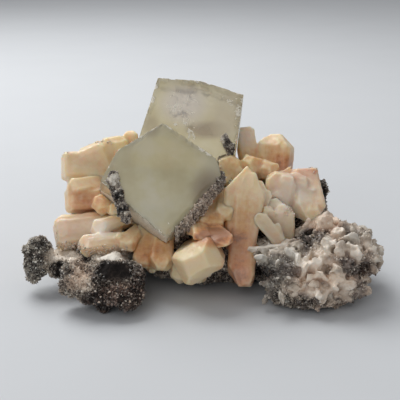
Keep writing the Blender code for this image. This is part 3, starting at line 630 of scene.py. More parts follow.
def creases_filled(points, triangles, rounds):
    """Fills the creases of a surface: wherever the mean of a point's neighbours lies outside the surface, the
    point moves half way to it, over and over. Also gives how far each point moved, and how much it stands out
    as part of an edge, both in millimetres."""
    first = points
    ways = outward_ways(points, triangles)
    edge = -((neighbour_means(points, triangles) - points) * ways).sum(axis=1)
    for _ in range(rounds):
        offset = neighbour_means(points, triangles) - points
        inwards = (offset * outward_ways(points, triangles)).sum(axis=1) <= 0
        points = points + 0.5 * offset * ~inwards[:, None]
    for _ in range(2):
        edge = neighbour_means(edge[:, None], triangles)[:, 0]
    return points, np.linalg.norm(points - first, axis=1), edge


# What owner_places needs to know of a blade: its foot, its axes as rows, and its faces about its centre.
Body = namedtuple("Body", "foot axes length centre normals distances")


def blade_body(blade):
    """What owner_places needs to know of a blade."""
    foot, tip = seen(*blade.foot), seen(*blade.tip)
    length = np.linalg.norm(tip - foot)
    return Body(foot, blade_axes(foot, tip, way_of(*blade.face)), length, *core_faces(blade, length)[0])


def blade_bundle(blade, seed, sprouts, wear):
    """A blade and the small crystals that sprout from it, mostly near its foot and leaning outwards."""
    draw = np.random.default_rng(seed)
    foot, tip, look = seen(*blade.foot), seen(*blade.tip), way_of(*blade.face)
    axes = blade_axes(foot, tip, look)
    surfaces = [grown_blade(foot, tip, look, blade, 0.62, wear, seed)]
    length = np.linalg.norm(tip - foot)
    for number in range(sprouts):
        turn = draw.uniform(0, math.tau)
        around = np.array([math.cos(turn), math.sin(turn)])
        start = np.append(0.32 * around * (blade.width, blade.thick), draw.uniform(0.1, 0.45) * length)
        slant = np.append(draw.uniform(0.25, 0.8) * around, 1.0)
        long = draw.uniform(0.2, 0.34) * length
        small = Blade(
            None, None, draw.uniform(0.2, 0.42) * blade.width, draw.uniform(0.2, 0.4) * blade.thick,
            gable=draw.uniform(0.8, 2.2), blunt=draw.uniform(0.2, 0.6), taper=0.85,
        )
        start, end = foot + start @ axes, foot + (start + long * unit(slant)) @ axes
        surfaces.append(grown_blade(start, end, look, small, 0.7, SPROUT_WEAR, seed + 31 * (number + 1)))
    return surfaces


def joined(surfaces):
    """Several surfaces as one, with their triangles renumbered."""
    starts = np.cumsum([0] + [len(surface.points) for surface in surfaces[:-1]])
    triangles = np.vstack([surface.triangles + start for surface, start in zip(surfaces, starts)])
    return Surface(np.concatenate([surface.points for surface in surfaces]), triangles)


# Lumps of rock.


def lump_reach(lump, ways):
    """The share of a lump's radii that its surface reaches in each way: rolling noise, less its hollows."""
    coarse = value_noise(ways * lump.grain + 7.3, lump.seed)
    fine = value_noise(ways * lump.grain * 2.3 + 3.1, lump.seed + 50)
    reach = 1 + lump.rough * coarse + 0.45 * lump.rough * fine
    for dent in lump.dents:
        off_axis = np.degrees(np.arccos(np.clip(ways @ unit(dent.way), -1, 1)))
        depth = np.clip(1.25 * (1 - off_axis / dent.angle), 0, 1)
        reach -= dent.depth * depth * depth * (3 - 2 * depth)
    return reach


def lump_place(lump):
    """Where the middle of a lump lies in the row frame."""
    return np.array(lump.centre) + SIGHT_CENTRE * (1, 1, 0)


def rock_lump(lump, spacing, relief, draw_back):
    """A lump of rock: a sphere grid pushed out to the lump's reach, drawn back so that druse fits on it, and
    then roughened by noise at three grain sizes with round pits where a fourth noise is high."""
    girth = math.tau * math.sqrt((lump.radii[0] ** 2 + lump.radii[1] ** 2) / 2)
    columns = int(np.clip(girth / spacing, 24, 150))
    rows = max(16, columns // 2)
    ways = ball_directions(rows, columns, (1, 1, 1))
    reach = lump_reach(lump, ways)[:, None]
    points = lump_place(lump) + ways * (np.array(lump.radii) * reach - draw_back)
    broken = rough_noise(points, (6, 2.6, 1.2), 300)
    pits = smoothstep(0.35, 0.8, value_noise(points / 2.6, 320))
    points += ways * ((broken - 0.35) * 2 * relief - 1.2 * relief * pits)[:, None]
    return Surface(points, ball_triangles(rows, columns))


def inside_lump(points, lump, grow):
    """Which points lie inside a lump that is grown by that much."""
    offset = (points - lump_place(lump)) / (np.array(lump.radii) + grow)
    distance = np.linalg.norm(offset, axis=1)
    reach = lump_reach(lump, offset / np.maximum(distance, 1e-9)[:, None])
    return distance < reach


def lump_height(points, lump):
    """How far points stand over a lump's surface, along the lines from its middle, in millimetres."""
    offset = (points - lump_place(lump)) / lump.radii
    distance = np.linalg.norm(offset, axis=1)
    reach = lump_reach(lump, offset / np.maximum(distance, 1e-9)[:, None])
    return (distance - reach) * np.mean(lump.radii)


# Calcite rhombs.


def rhomb_faces(rhomb, grow):
    """A rhomb as a centre, outward normals and distances, with every face moved out by grow."""
    start, per_across, per_up = rhomb.lean
    front = [
        np.array((across, up, start + per_across * across + per_up * up)) for across, up in rhomb.outline
    ]
    front, rear = [seen(*place) for place in front], [seen(*(place + rhomb.depth)) for place in front]
    centre = np.mean(front + rear, axis=0)
    faces = [(front[0], front[1], front[-1]), (rear[0], rear[1], rear[-1])]
    faces += list(zip(front, front[1:] + front[:1], rear))
    normals, distances = [], []
    for first, second, third in faces:
        normal = unit(np.cross(second - first, third - first))
        distance = normal @ (first - centre)
        normals.append(normal * np.sign(distance))
        distances.append(abs(distance) + grow)
    return centre, np.array(normals), np.array(distances)


def carved(points, lowest):
    """Points that lie inside a calcite rhomb are moved straight out to its nearest face, and none stays lower
    than lowest."""
    points = points.copy()
    for rhomb in CALCITE_RHOMBS.values():
        centre, normals, distances = rhomb_faces(rhomb, GAP)
        depth = distances - (points - centre) @ normals.T
        inside = (depth > 0).all(axis=1)
        nearest = depth[inside].argmin(axis=1)
        points[inside] += normals[nearest] * depth[inside].min(axis=1)[:, None]
    points[:, 2] = np.maximum(points[:, 2], lowest)
    return points


def rhomb_surface(rhomb, spacing, seed):
    """A calcite rhomb: soft_facets over a sphere grid, with cleavage damage. Close to the edges the faces are
    sunk by flat plates, whose outlines follow the rhomb's own faces, because the noise is read in steps of
    the distances to those faces. Elsewhere they only swell and dip a little. Also gives how far each point
    lies behind the front face, and how close it is to an edge, from nought to one."""
    centre, normals, distances = rhomb_faces(rhomb, 0)
    columns, rows = int(math.tau * 30 / spacing), int(math.pi * 30 / spacing)
    directions = ball_directions(rows, columns, (1, 1, 1))
    points = directions * soft_facets(directions, normals, distances, 160)[:, None]
    depths = np.sort(distances - points @ normals.T, axis=1)
    rim = 1 - smoothstep(0.3, 2.4, depths[:, 1] + 1.1 * rough_noise(points, (9, 4), seed))
    cells = np.floor((points @ normals[[0, 2, 3]].T) / (1.1, 3.2, 2.1) + 0.31 * seed)
    plates = value_noise(cells * 0.83, seed + 1)
    sunk = 0.35 * rim * smoothstep(0.05, 0.12, plates) + 0.12 * (1 + rough_noise(points, (16, 8), seed + 2))
    sunk += 0.1 * rim * (1 + value_noise(points / 0.9, seed + 4))
    points = points * (1 - sunk / np.linalg.norm(points, axis=1))[:, None]
    behind_face = distances[0] - points @ normals[0]
    return Surface(centre + points, ball_triangles(rows, columns)), behind_face, rim


# Small shapes that are strewn in hundreds.


def spike(sides, shoulder, top):
    """A small crystal of unit size along its third axis: a ring at the foot, a narrower one at the shoulder,
    and a point, or a short ridge where top is above nought."""
    turn = np.linspace(0, math.tau, sides, endpoint=False)
    ring = np.stack([np.cos(turn), np.sin(turn), 0 * turn], axis=1)
    points = np.vstack([
        ring * (1, 1, 0) + (0, 0, -0.35), ring * (0.9, 0.9, 0) + (0, 0, shoulder), [[-top, 0, 1], [top, 0, 1]]
    ])
    following = np.roll(np.arange(sides), -1)
    lower, upper = np.arange(sides), sides + np.arange(sides)
    ends = np.where(ring[:, 0] + ring[following, 0] < 0, 2 * sides, 2 * sides + 1)
    above = sides + following
    walls = [np.stack([lower, following, above], 1), np.stack([lower, above, upper], 1)]
    roof = [np.stack([upper, above, ends], 1)]
    changes = np.flatnonzero(ends != np.roll(ends, -1))
    closing = [
        np.stack([sides + following[changes], ends[following[changes]], ends[changes]], 1),
        [[0, step + 1, step] for step in range(1, sides - 1)],
    ]
    return points, np.vstack(walls + roof + closing)


SUGAR_GRAIN = spike(3, 0.5, 0.02)
BLADELET = spike(6, 0.8, 0.45)


def strewn(shape, places, ways, sizes, turns):
    """Copies of one small shape: each is scaled by its own three sizes, turned about its axis, and laid along
    its way at its place, all by one product of arrays."""
    points, triangles = shape
    along = unit(ways)
    aside = np.where(np.abs(along[:, 2:]) < 0.9, [[0.0, 0.0, 1.0]], [[1.0, 0.0, 0.0]])
    side = unit(np.cross(aside, along))
    out = np.cross(along, side)
    turned = np.cos(turns)[:, None] * side + np.sin(turns)[:, None] * out
    axes = np.stack([turned, np.cross(along, turned), along], axis=1)
    laid = places[:, None] + np.einsum("nki,nij->nkj", points[None] * sizes[:, None], axes)
    starts = np.arange(len(places)) * len(points)
    return laid.reshape(-1, 3), (triangles[None] + starts[:, None, None]).reshape(-1, 3)


def bladelets(places, ways, usual, most, widths, thicks, tilt, sunk, draw):
    """Small blades that stand on a surface, sunk into it a little: their lengths are spread about the usual
    one, their widths and thicknesses are shares of the length, and each leans and turns its own way."""
    count = len(places)
    size = np.minimum(usual * draw.lognormal(0, 0.35, count), most)
    sizes = np.stack([size * draw.uniform(*widths, count), size * draw.uniform(*thicks, count), size], axis=1)
    leaning = ways + draw.normal(0, tilt, (count, 3))
    return strewn(BLADELET, places - sunk * ways, leaning, sizes, draw.uniform(0, math.tau, count))


def sampled(surface, count, draw):
    """Random points spread evenly over a surface's area, with the outward way at each."""
    a, b, c = surface.points[surface.triangles].transpose(1, 0, 2)
    normals = np.cross(b - a, c - a)
    area = np.linalg.norm(normals, axis=1)
    chosen = draw.choice(len(area), count, p=area / area.sum())
    u, v = draw.random((2, count))
    u, v = np.where(u + v > 1, 1 - u, u), np.where(u + v > 1, 1 - v, v)
    points = a[chosen] + u[:, None] * (b - a)[chosen] + v[:, None] * (c - a)[chosen]
    return points, unit(normals[chosen])


def inside_blade(points, blade, grow):
    """Which points lie inside a blade that is grown by that much."""
    foot, tip = seen(*blade.foot), seen(*blade.tip)
    centre, normals, distances = blade_faces(np.linalg.norm(tip - foot), *blade[2:4], *blade[5:])
    local = (points - foot) @ blade_axes(foot, tip, way_of(*blade.face)).T - centre
    return (local @ normals.T <= distances + grow).all(axis=1)


def inside_rhombs(points):
    """Which points lie inside a calcite rhomb."""
    inside = np.zeros(len(points), bool)
    for rhomb in CALCITE_RHOMBS.values():
        centre, normals, distances = rhomb_faces(rhomb, 0)
        inside |= ((points - centre) @ normals.T <= distances).all(axis=1)
    return inside


def in_the_open(points, lumps, bury):
    """Which points lie outside every crystal, less than bury under the face of every lump of rock, and above
    the resting plane."""
    free = (points[:, 2] > 0.4) & ~inside_rhombs(points)
    for lump in lumps:
        free &= ~inside_lump(points, lump, -bury)
    for blade in sum(STILBITE_GROUPS.values(), []):
        free &= ~inside_blade(points, blade, -0.8)
    return free


def zone_mix(points, chosen, plain, edge=2):
    """The blend of the zones' values at each point: each zone weighs by a flat-topped curve of the distance
    from its middle, as the viewer sees it, and the plain value has the weight that is left. A higher edge
    fades faster."""
    place = sight_of(points)
    weights = np.array([
        np.exp(-(((place[:, :2] - zone.middle) / zone.reach) ** 2).sum(axis=1) ** edge)
        * (place[:, 2] < zone.behind)
        for zone in chosen
    ])
    rest = np.clip(1 - weights.sum(axis=0), 0, 1)
    values = np.array([zone.values for zone in chosen])
    return (weights.T @ values + rest[:, None] * plain) / (weights.sum(axis=0) + rest)[:, None]


def druse_ground(points):
    """The shade and warmth of druse: the zones' in front, drifting in patches 10 mm across towards the
    back."""
    ground = zone_mix(points, DRUSE_ZONES, PLAIN_DRUSE)
    behind = smoothstep(-12, 8, points[:, 1])
    drift = [0.42 * rough_noise(points, (12, 6), 331), 0.5 * rough_noise(points, (16, 8), 332)]
    return ground + behind[:, None] * np.stack(drift, axis=1)


# Meshes.


def link(name, data):
    """A new object of that data, in the scene."""
    made = bpy.data.objects.new(name, data)
    bpy.context.scene.collection.objects.link(made)
    return made


def mesh_object(name, points, triangles, smooth, attributes):
    """A mesh object from whole arrays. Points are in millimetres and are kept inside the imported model's
    box."""
    low, high = (np.array(corner) for corner in CAD_BOX)
    points = np.clip(points * MM, low, high)
    data = bpy.data.meshes.new(name)
    data.vertices.add(len(points))
    data.vertices.foreach_set("co", points.astype(np.float32).ravel())
    data.loops.add(triangles.size)
    data.loops.foreach_set("vertex_index", triangles.astype(np.int32).ravel())
    data.polygons.add(len(triangles))
    data.polygons.foreach_set("loop_start", np.arange(0, triangles.size, 3, dtype=np.int32))
    data.polygons.foreach_set("use_smooth", np.full(len(triangles), smooth))
    data.update(calc_edges=True)
    for key, values in attributes.items():
        if values.ndim == 1:
            data.attributes.new(key, "FLOAT", "POINT").data.foreach_set("value", values.astype(np.float32))
        else:
            made = data.attributes.new(key, "FLOAT_VECTOR", "POINT")
            made.data.foreach_set("vector", values.astype(np.float32).ravel())
    return link(name, data)


def settle(piece, material, slot, *nodes):
    """Gives a finished piece its material, its body, and the nodes that it stands for; its slot is not used."""
    piece.data.materials.append(material)
    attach(piece, "root")
    if nodes:
        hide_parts(*nodes)
    return piece


# Materials.


def linear(hex_colour):
    """An sRGB hex colour as linear RGBA."""
    parts = np.array([int(hex_colour[place : place + 2], 16) / 255 for place in (1, 3, 5)])
    return (*np.where(parts <= 0.04045, parts / 12.92, ((parts + 0.055) / 1.055) ** 2.4), 1.0)


def new_material(name):
    """An empty material with its node tree and output."""
    made = bpy.data.materials.new(name)
    made.use_nodes = True
    made.node_tree.nodes.clear()
    return made, made.node_tree


def add_node(tree, kind, settings=(), links=()):
    """Adds a node. Settings are its own properties, the values of its inputs or a ramp's stops; links are
    what its inputs are fed from, a node or one of its outputs."""
    made = tree.nodes.new("ShaderNode" + kind)
    for key, value in dict(settings).items():
        if key == "stops":
            while len(made.color_ramp.elements) < len(value):
                made.color_ramp.elements.new(0.5)
            for element, (place, colour) in zip(made.color_ramp.elements, value):
                element.position, element.color = place, colour
        elif isinstance(key, str) and hasattr(made, key):
            setattr(made, key, value)
        else:
            made.inputs[key].default_value = value
    for key, source in dict(links).items():
        output = source if isinstance(source, bpy.types.NodeSocket) else source.outputs[0]
        tree.links.new(output, made.inputs[key])
    return made


def stilbite_material(settings):
    """Stilbite: a waxy, translucent zeolite. Deep peach at the root, paler and whiter towards the tip, cloudy
    inside, with fine lines along the blade and a soft pearly lustre on top."""
    material, tree = new_material("stilbite_peach_pearly")
    growth, tint, place, crease, edge = (
        add_node(tree, "Attribute", {"attribute_name": key})
        for key in ("growth", "tint", "place", "crease", "edge")
    )
    coords = add_node(tree, "TexCoord").outputs["Object"]
    parts = add_node(tree, "SeparateXYZ", {}, {"Vector": tint.outputs["Vector"]})
    # Clouds inside the crystal are 6 to 12 mm across, frost patches 2 to 4 mm, stained specks 2 mm, sugar
    # under 1 mm.
    noises = ((95.0, 3.0, 0.6), (300.0, 4.0, 0.65), (520.0, 3.0, 0.6), (1300.0, 2.0, 0.5))
    clouds, patches, specks, sugar = (
        add_node(tree, "TexNoise", {"Scale": scale, "Detail": detail, "Roughness": rough}, {"Vector": coords})
        for scale, detail, rough in noises
    )
    # Growth lines lie about half a millimetre apart across the blade and run its whole length.
    stretched = add_node(
        tree, "VectorMath", {"operation": "MULTIPLY", 1: (1500.0, 1500.0, 50.0)}, {0: place.outputs["Vector"]}
    )
    lines = add_node(tree, "TexNoise", {"Scale": 1.0, "Detail": 2.0}, {"Vector": stretched})
    stain = add_node(
        tree, "MapRange",
        {"From Min": 0.4, "From Max": 0.75, "To Min": -0.13, "To Max": 0.03}, {"Value": specks},
    )
    # Orange deepens towards the root, drifts with clouds, lines and specks, gathers in creases, where it is
    # partly the darker colour of the joints and partly painted shade, and follows the zones.
    depth = add_node(
        tree, "Math", {"operation": "MULTIPLY_ADD", 1: -0.3, 2: -0.02}, {0: growth.outputs["Fac"]}
    )
    for source, share in (
        (clouds, 0.9), (lines, 0.16), (stain, 1.0), (crease.outputs["Fac"], 0.3), (parts.outputs["Y"], 0.62)
    ):
        depth = add_node(tree, "Math", {"operation": "MULTIPLY_ADD", 1: share}, {0: source, 2: depth})
    depth.use_clamp = True
    colours = [linear_of(getattr(settings, key)) for key in ("tip", "body", "root", "deep")]
    stops = list(zip((0.35, 0.62, 0.85, 1.0), colours))
    orange = add_node(tree, "ValToRGB", {"stops": stops}, {"Fac": depth})
    pink = add_node(tree, "Math", {"operation": "MULTIPLY", 1: 0.6}, {0: parts.outputs["X"]})
    # Frost lies in patches. The edges are paler, partly because they are a little bruised and partly as a
    # painted highlight.
    pearl = add_node(
        tree, "MapRange", {"From Min": 0.4, "From Max": 0.85, "To Max": 0.25}, {"Value": patches}
    )
    for source, share in ((edge.outputs["Fac"], 0.18), (parts.outputs["Z"], 0.6)):
        pearl = add_node(tree, "Math", {"operation": "MULTIPLY_ADD", 1: share}, {0: source, 2: pearl})
    pearl.use_clamp = True
    colour = orange.outputs["Color"]
    for share, over in ((pink, settings.blush), (pearl, settings.pearl)):
        mixed = add_node(tree, "Mix", {"data_type": "RGBA", 7: linear_of(over)}, {0: share, 6: colour})
        colour = mixed.outputs[2]
    relief = add_node(tree, "Math", {"operation": "MULTIPLY_ADD", 1: 0.45}, {0: sugar, 2: lines})
    bump = add_node(tree, "Bump", {"Strength": 0.3, "Distance": 0.0003}, {"Height": relief})
    rough = add_node(
        tree, "MapRange",
        {"From Min": 0.3, "From Max": 0.7, "To Min": 0.28, "To Max": 0.58}, {"Value": patches},
    )
    shader = add_node(
        tree, "BsdfPrincipled",
        {
            "IOR": 1.5, "Coat Weight": 0.15, "Coat Roughness": 0.15,
            "Subsurface Weight": 1.0, "Subsurface Radius": (1.0, 0.7, 0.45), "Subsurface Scale": 0.0045,
        },
        {"Base Color": colour, "Roughness": rough, "Normal": bump},
    )
    add_node(tree, "OutputMaterial", {}, {"Surface": shader})
    return material


def calcite_material(name, settings, clear):
    """Calcite: clear to milky, pale yellow-green, glassy on fresh faces and silky where etched. Seen through
    by plain transmission with absorption; its milk is the part of the light that it scatters back."""
    material, tree = new_material(name)
    coords = add_node(tree, "TexCoord").outputs["Object"]
    rim, tint = (add_node(tree, "Attribute", {"attribute_name": key}) for key in ("growth", "tint"))
    parts = add_node(tree, "SeparateXYZ", {}, {"Vector": tint.outputs["Vector"]})
    # Milk clouds are about 15 mm across, and scuffs a millimetre.
    milk, scuffs = (
        add_node(tree, "TexNoise", {"Scale": scale, "Detail": detail, "Roughness": rough}, {"Vector": coords})
        for scale, detail, rough in ((60.0, 4.0, 0.5), (700.0, 3.0, 0.6))
    )
    colours = [linear_of(getattr(settings, key)) for key in ("shade", "body", "light")]
    ramp = add_node(tree, "ValToRGB", {"stops": list(zip((0.38, 0.5, 0.64), colours))}, {"Fac": milk})
    sides = add_node(tree, "Math", {"operation": "MULTIPLY", 1: 0.75}, {0: parts.outputs["Z"]})
    worn = add_node(tree, "Math", {"operation": "MULTIPLY", 1: 0.8}, {0: rim.outputs["Fac"]})
    worn = add_node(tree, "Math", {"operation": "MULTIPLY", "use_clamp": True}, {0: worn, 1: scuffs})
    # The brown stain sits low on the right of the front rhomb, and a patch of it on the back rhomb is painted
    # shadow in a cleavage step; the haze sits on the back one; sides and wear are paler.
    colour = ramp.outputs["Color"]
    for share, over in (
        (parts.outputs["X"], linear_of(settings.stain)), (parts.outputs["Y"], linear_of(settings.haze)),
        (sides, linear("#EFE3C4")), (worn, linear("#D8D3C2")),
    ):
        colour = add_node(tree, "Mix", {"data_type": "RGBA", 7: over}, {0: share, 6: colour}).outputs[2]
    bump = add_node(tree, "Bump", {"Strength": 0.05, "Distance": 0.0001}, {"Height": scuffs})
    rough = add_node(
        tree, "MapRange",
        {"From Min": 0.35, "From Max": 0.7, "To Min": 0.1, "To Max": 0.22}, {"Value": scuffs},
    )
    shader = add_node(
        tree, "BsdfPrincipled", {"IOR": 1.6, "Transmission Weight": clear},
        {"Base Color": colour, "Roughness": rough, "Normal": bump},
    )
    absorbing = add_node(tree, "VolumeAbsorption", {"Color": linear("#E0D2A8"), "Density": 14.0})
    add_node(tree, "OutputMaterial", {}, {"Surface": shader, "Volume": absorbing})
    return material


def chipped_calcite_material():
    """Chipped calcite: where an edge is bruised or a fracture reaches the face, many small breaks scatter the
    light and it looks white and sugary."""
    material, tree = new_material("calcite_chipped_white")
    coords = add_node(tree, "TexCoord").outputs["Object"]
    chips = add_node(tree, "TexNoise", {"Scale": 1200.0, "Detail": 3.0}, {"Vector": coords})
    stops = [(0.3, linear("#DDD6C2")), (0.6, linear("#FAF5E8"))]
    colour = add_node(tree, "ValToRGB", {"stops": stops}, {"Fac": chips})
    bump = add_node(tree, "Bump", {"Strength": 0.5, "Distance": 0.0003}, {"Height": chips})
    shader = add_node(
        tree, "BsdfPrincipled", {"IOR": 1.6, "Roughness": 0.6, "Transmission Weight": 0.2},
        {"Base Color": colour, "Normal": bump},
    )
    add_node(tree, "OutputMaterial", {}, {"Surface": shader})
    return material


DRUSE_COOL = ("#120F0D", "#6E6962", "#B7B1A3", "#F4F1E8")
DRUSE_WARM = ("#1A110E", "#84695C", "#D1B39B", "#F3E2CE")


def sugar_colour(tree):
    """The colour of druse by its shade and warmth: black through grey and cream to white."""
    shade, warmth = (
        add_node(tree, "Attribute", {"attribute_name": key}).outputs["Fac"] for key in ("shade", "warmth")
    )
    cool, warm = (
        add_node(
            tree, "ValToRGB", {"stops": [*zip((0, 0.35, 0.65, 1), map(linear, colours))]}, {"Fac": shade}
        ).outputs["Color"]
        for colours in (DRUSE_COOL, DRUSE_WARM)
    )
    return add_node(tree, "Mix", {"data_type": "RGBA"}, {0: warmth, 6: cool, 7: warm}).outputs[2]


def basalt_material(settings):
    """Basalt: fine, dark brown-black and dull, with rusty and greyish spots, and an undercoat of druse that
    shows between its grains."""
    material, tree = new_material("basalt_vesicular_dull")
    coords = add_node(tree, "TexCoord").outputs["Object"]
    # Spots are some 7 mm across, and grit under a millimetre.
    broad, grit = (
        add_node(tree, "TexNoise", {"Scale": scale, "Detail": detail, "Roughness": 0.7}, {"Vector": coords})
        for scale, detail in ((140.0, 5.0), (1100.0, 3.0))
    )
    colours = [linear_of(getattr(settings, key)) for key in ("deep", "body", "worn")]
    rock = add_node(tree, "ValToRGB", {"stops": list(zip((0.3, 0.55, 0.72), colours))}, {"Fac": broad})
    # Druse lies in the grit, and where it is pale it is a closed crust, so that none of the rock shows.
    shade = add_node(tree, "Attribute", {"attribute_name": "shade"}).outputs["Fac"]
    speckled, closed = (
        add_node(tree, "MapRange", {"From Min": low, "From Max": high, "To Max": most}, {"Value": source})
        for source, low, high, most in ((grit, 0.42, 0.58, 0.7), (shade, 0.5, 0.85, 1.0))
    )
    coated = add_node(tree, "Math", {"operation": "ADD", "use_clamp": True}, {0: speckled, 1: closed})
    colour = add_node(tree, "Mix", {"data_type": "RGBA"}, {0: coated, 6: rock, 7: sugar_colour(tree)})
    bump = add_node(tree, "Bump", {"Strength": 0.9, "Distance": 0.0006}, {"Height": grit})
    shader = add_node(
        tree, "BsdfPrincipled", {"Roughness": 0.85, "IOR": 1.55, "Specular IOR Level": 0.25},
        {"Base Color": colour.outputs[2], "Normal": bump},
    )
    add_node(tree, "OutputMaterial", {}, {"Surface": shader})
    return material


def druse_material(name, gloss):
    """Druse: a sugar of tiny crystals. Each grain has its own shade, and its flat faces glint."""
    material, tree = new_material(name)
    coords = add_node(tree, "TexCoord").outputs["Object"]
    grain = add_node(tree, "TexNoise", {"Scale": 900.0, "Detail": 2.0}, {"Vector": coords})
    rough, frost = (
        add_node(
            tree, "MapRange",
            {"From Min": low, "From Max": 0.7, "To Min": least, "To Max": most}, {"Value": grain},
        )
        for low, least, most in ((0.3, gloss, gloss + 0.25), (0.5, 0.0, 0.3))
    )
    colour = add_node(
        tree, "Mix", {"data_type": "RGBA", 7: linear("#EDE7DD")}, {0: frost, 6: sugar_colour(tree)}
    )
    bump = add_node(tree, "Bump", {"Strength": 0.6, "Distance": 0.0004}, {"Height": grain})
    shader = add_node(
        tree, "BsdfPrincipled",
        {
            "IOR": 1.52,
            "Subsurface Weight": 0.15, "Subsurface Radius": (1.0, 0.8, 0.6), "Subsurface Scale": 0.001,
        },
        {"Base Color": colour.outputs[2], "Roughness": rough, "Normal": bump},
    )
    add_node(tree, "OutputMaterial", {}, {"Surface": shader})
    return material


def floor_material(colour):
    """Matt white photo board: even, with the faintest mottle."""
    material, tree = new_material("photo_board_matt")
    coords = add_node(tree, "TexCoord").outputs["Object"]
    mottle = add_node(tree, "TexNoise", {"Scale": 14.0, "Detail": 3.0}, {"Vector": coords})
    plain = linear_of(colour)
    stops = [(0.3, plain), (0.7, tuple(min(1, part * 1.02) for part in plain))]
    tone = add_node(tree, "ValToRGB", {"stops": stops}, {"Fac": mottle})
    shader = add_node(tree, "BsdfPrincipled", {"Roughness": 0.75}, {"Base Color": tone})
    add_node(tree, "OutputMaterial", {}, {"Surface": shader})
    return material


def linear_of(colour):
    """A colour property as RGBA. Blender keeps such a property linear."""
    return (*colour[:3], 1.0)


def colour_property(name, description, hex_colour):
    """A colour that the user may change, given by its usual sRGB value."""
    return FloatVectorProperty(
        name=name, description=description, subtype="COLOR", size=3, min=0, max=1,
        default=linear(hex_colour)[:3],
    )


# What a user may change.


class StudioSettings(bpy.types.PropertyGroup):
    """The floor and the light."""

    floor: colour_property("Floor", "Colour of the photo board", "#CBCED1")
    overhead: FloatProperty(
        name="Overhead", description="Power of the soft light above", default=9.3, min=0, unit="POWER"
    )
    fill: FloatProperty(
        name="Fill", description="Strength of the even light from all around", default=0.42, min=0
    )


class StilbiteSettings(bpy.types.PropertyGroup):
    """The stilbite blades."""

    # Partly painted shade: the deep brown darkens the lowest parts of the blades.
    deep: colour_property("Deep", "Brown of the lowest and oldest parts", "#946030")
    root: colour_property("Root", "Colour of the orange at a blade's root", "#CC8A48")
    body: colour_property("Body", "Colour of the middle of a blade", "#DFB376")
    tip: colour_property("Tip", "Colour of the palest yellow", "#E8D3A0")
    blush: colour_property("Blush", "Pink of the most coloured blades", "#DDB09D")
    pearl: colour_property("Pearl", "Pearly white of frosted ends", "#EFE4D6")
    sprouts: IntProperty(
        name="Sprouts", description="Small crystals on a blade in front", default=1, min=0, max=12
    )
    voxel: FloatProperty(
        name="Voxel", description="Fineness of the fused groups", default=0.00045, min=0.0002, unit="LENGTH"
    )


class CalciteSettings(bpy.types.PropertyGroup):
    """The calcite rhombs."""

    shade: colour_property("Shade", "Colour of the clearest parts", "#E0D4A6")
    body: colour_property("Body", "Colour of the crystal", "#EDE3B8")
    light: colour_property("Light", "Colour of the milkiest parts", "#F4ECCB")
    stain: colour_property("Stain", "Brown shade low on the right", "#7E5F48")
    haze: colour_property("Haze", "Lilac-grey haze of the back rhomb", "#F0E8E4")
    spacing: FloatProperty(
        name="Spacing", description="Fineness of the cleaved faces", default=0.0006, min=0.0003, unit="LENGTH"
    )


class BasaltSettings(bpy.types.PropertyGroup):
    """The rock and the sugar on it."""

    deep: colour_property("Deep", "Colour of the hollows", "#0F0C0B")
    body: colour_property("Body", "Colour of the rock", "#2A2320")
    worn: colour_property("Worn", "Colour of the weathered spots", "#4A3E38")
    relief: FloatProperty(
        name="Relief", description="Depth of the broken surface", default=0.0009, min=0, unit="LENGTH"
    )
    grain: FloatProperty(
        name="Grain", description="Usual size of a druse grain", default=0.00052, min=0.0002, unit="LENGTH"
    )
    grains: IntProperty(name="Grains", description="Number of druse grains on the rock", default=55000, min=0)


class SpecimenSettings(bpy.types.PropertyGroup):
    """All settings of the specimen."""

    studio: PointerProperty(type=StudioSettings)
    stilbite: PointerProperty(type=StilbiteSettings)
    calcite: PointerProperty(type=CalciteSettings)
    basalt: PointerProperty(type=BasaltSettings)


# The pieces.


# The share of druse grains that are painted pale as painted glints, where clear grains would catch the light,
# a grain's two widths as shares of its length, and how far it leans out of the upright.
GLINTS = 0.14
GRAIN_WIDTHS = (0.6, 0.55)
GRAIN_TILT = 0.35


def strewn_druse(name, places, ways, shades, size, seed):
    """A coat of small crystals, as one mesh with its shade and warmth: copies of the sugar grain, smaller
    where the druse is pale, each leaning its own way and a little darker or lighter than the ground."""
    draw = np.random.default_rng(seed)
    count = len(places)
    paleness = np.clip(shades[:, 0], 0, 1)
    sizes = size * draw.lognormal(0, 0.35, count) * (1.15 - 0.45 * paleness)
    wide, thick = GRAIN_WIDTHS
    lengths = np.stack([wide * sizes, thick * sizes * draw.uniform(0.7, 1, count), sizes], axis=1)
    turns = draw.uniform(0, math.tau, count)
    leaning = ways + draw.normal(0, GRAIN_TILT, (count, 3))
    points, triangles = strewn(SUGAR_GRAIN, places, leaning, lengths, turns)
    spread = draw.normal(0, 1, (count, 2)) * np.stack([0.06 + 0.2 * paleness, np.full(count, 0.1)], 1)
    shade, warmth = np.clip(shades + spread, 0, 1).T
    # Painted glints: a share of the grains is painted pale, wherever the druse is not black.
    glint = draw.random(count) < GLINTS * smoothstep(0.02, 0.2, shades[:, 0])
    shade[glint] = np.maximum(shade[glint], draw.uniform(0.6, 1, glint.sum()))
    corners = len(SUGAR_GRAIN[0])
    attributes = {"shade": np.repeat(shade, corners), "warmth": np.repeat(warmth, corners)}
    return mesh_object(name, points, triangles, False, attributes)


# The soft lights: name, share of the overhead power, side in metres, place, and the point it is aimed at.
STUDIO_LIGHTS = [
    ("overhead_softbox", 1.0, 0.75, (-0.4, 0.5, 0.85), (0, 0, 0)),
    ("front_softbox", 0.24, 0.8, (-0.4, -0.9, 0.7), (0, 0, 0.03)),
]
# Half the side of the photo board, in metres.
BOARD_REACH = 4.0


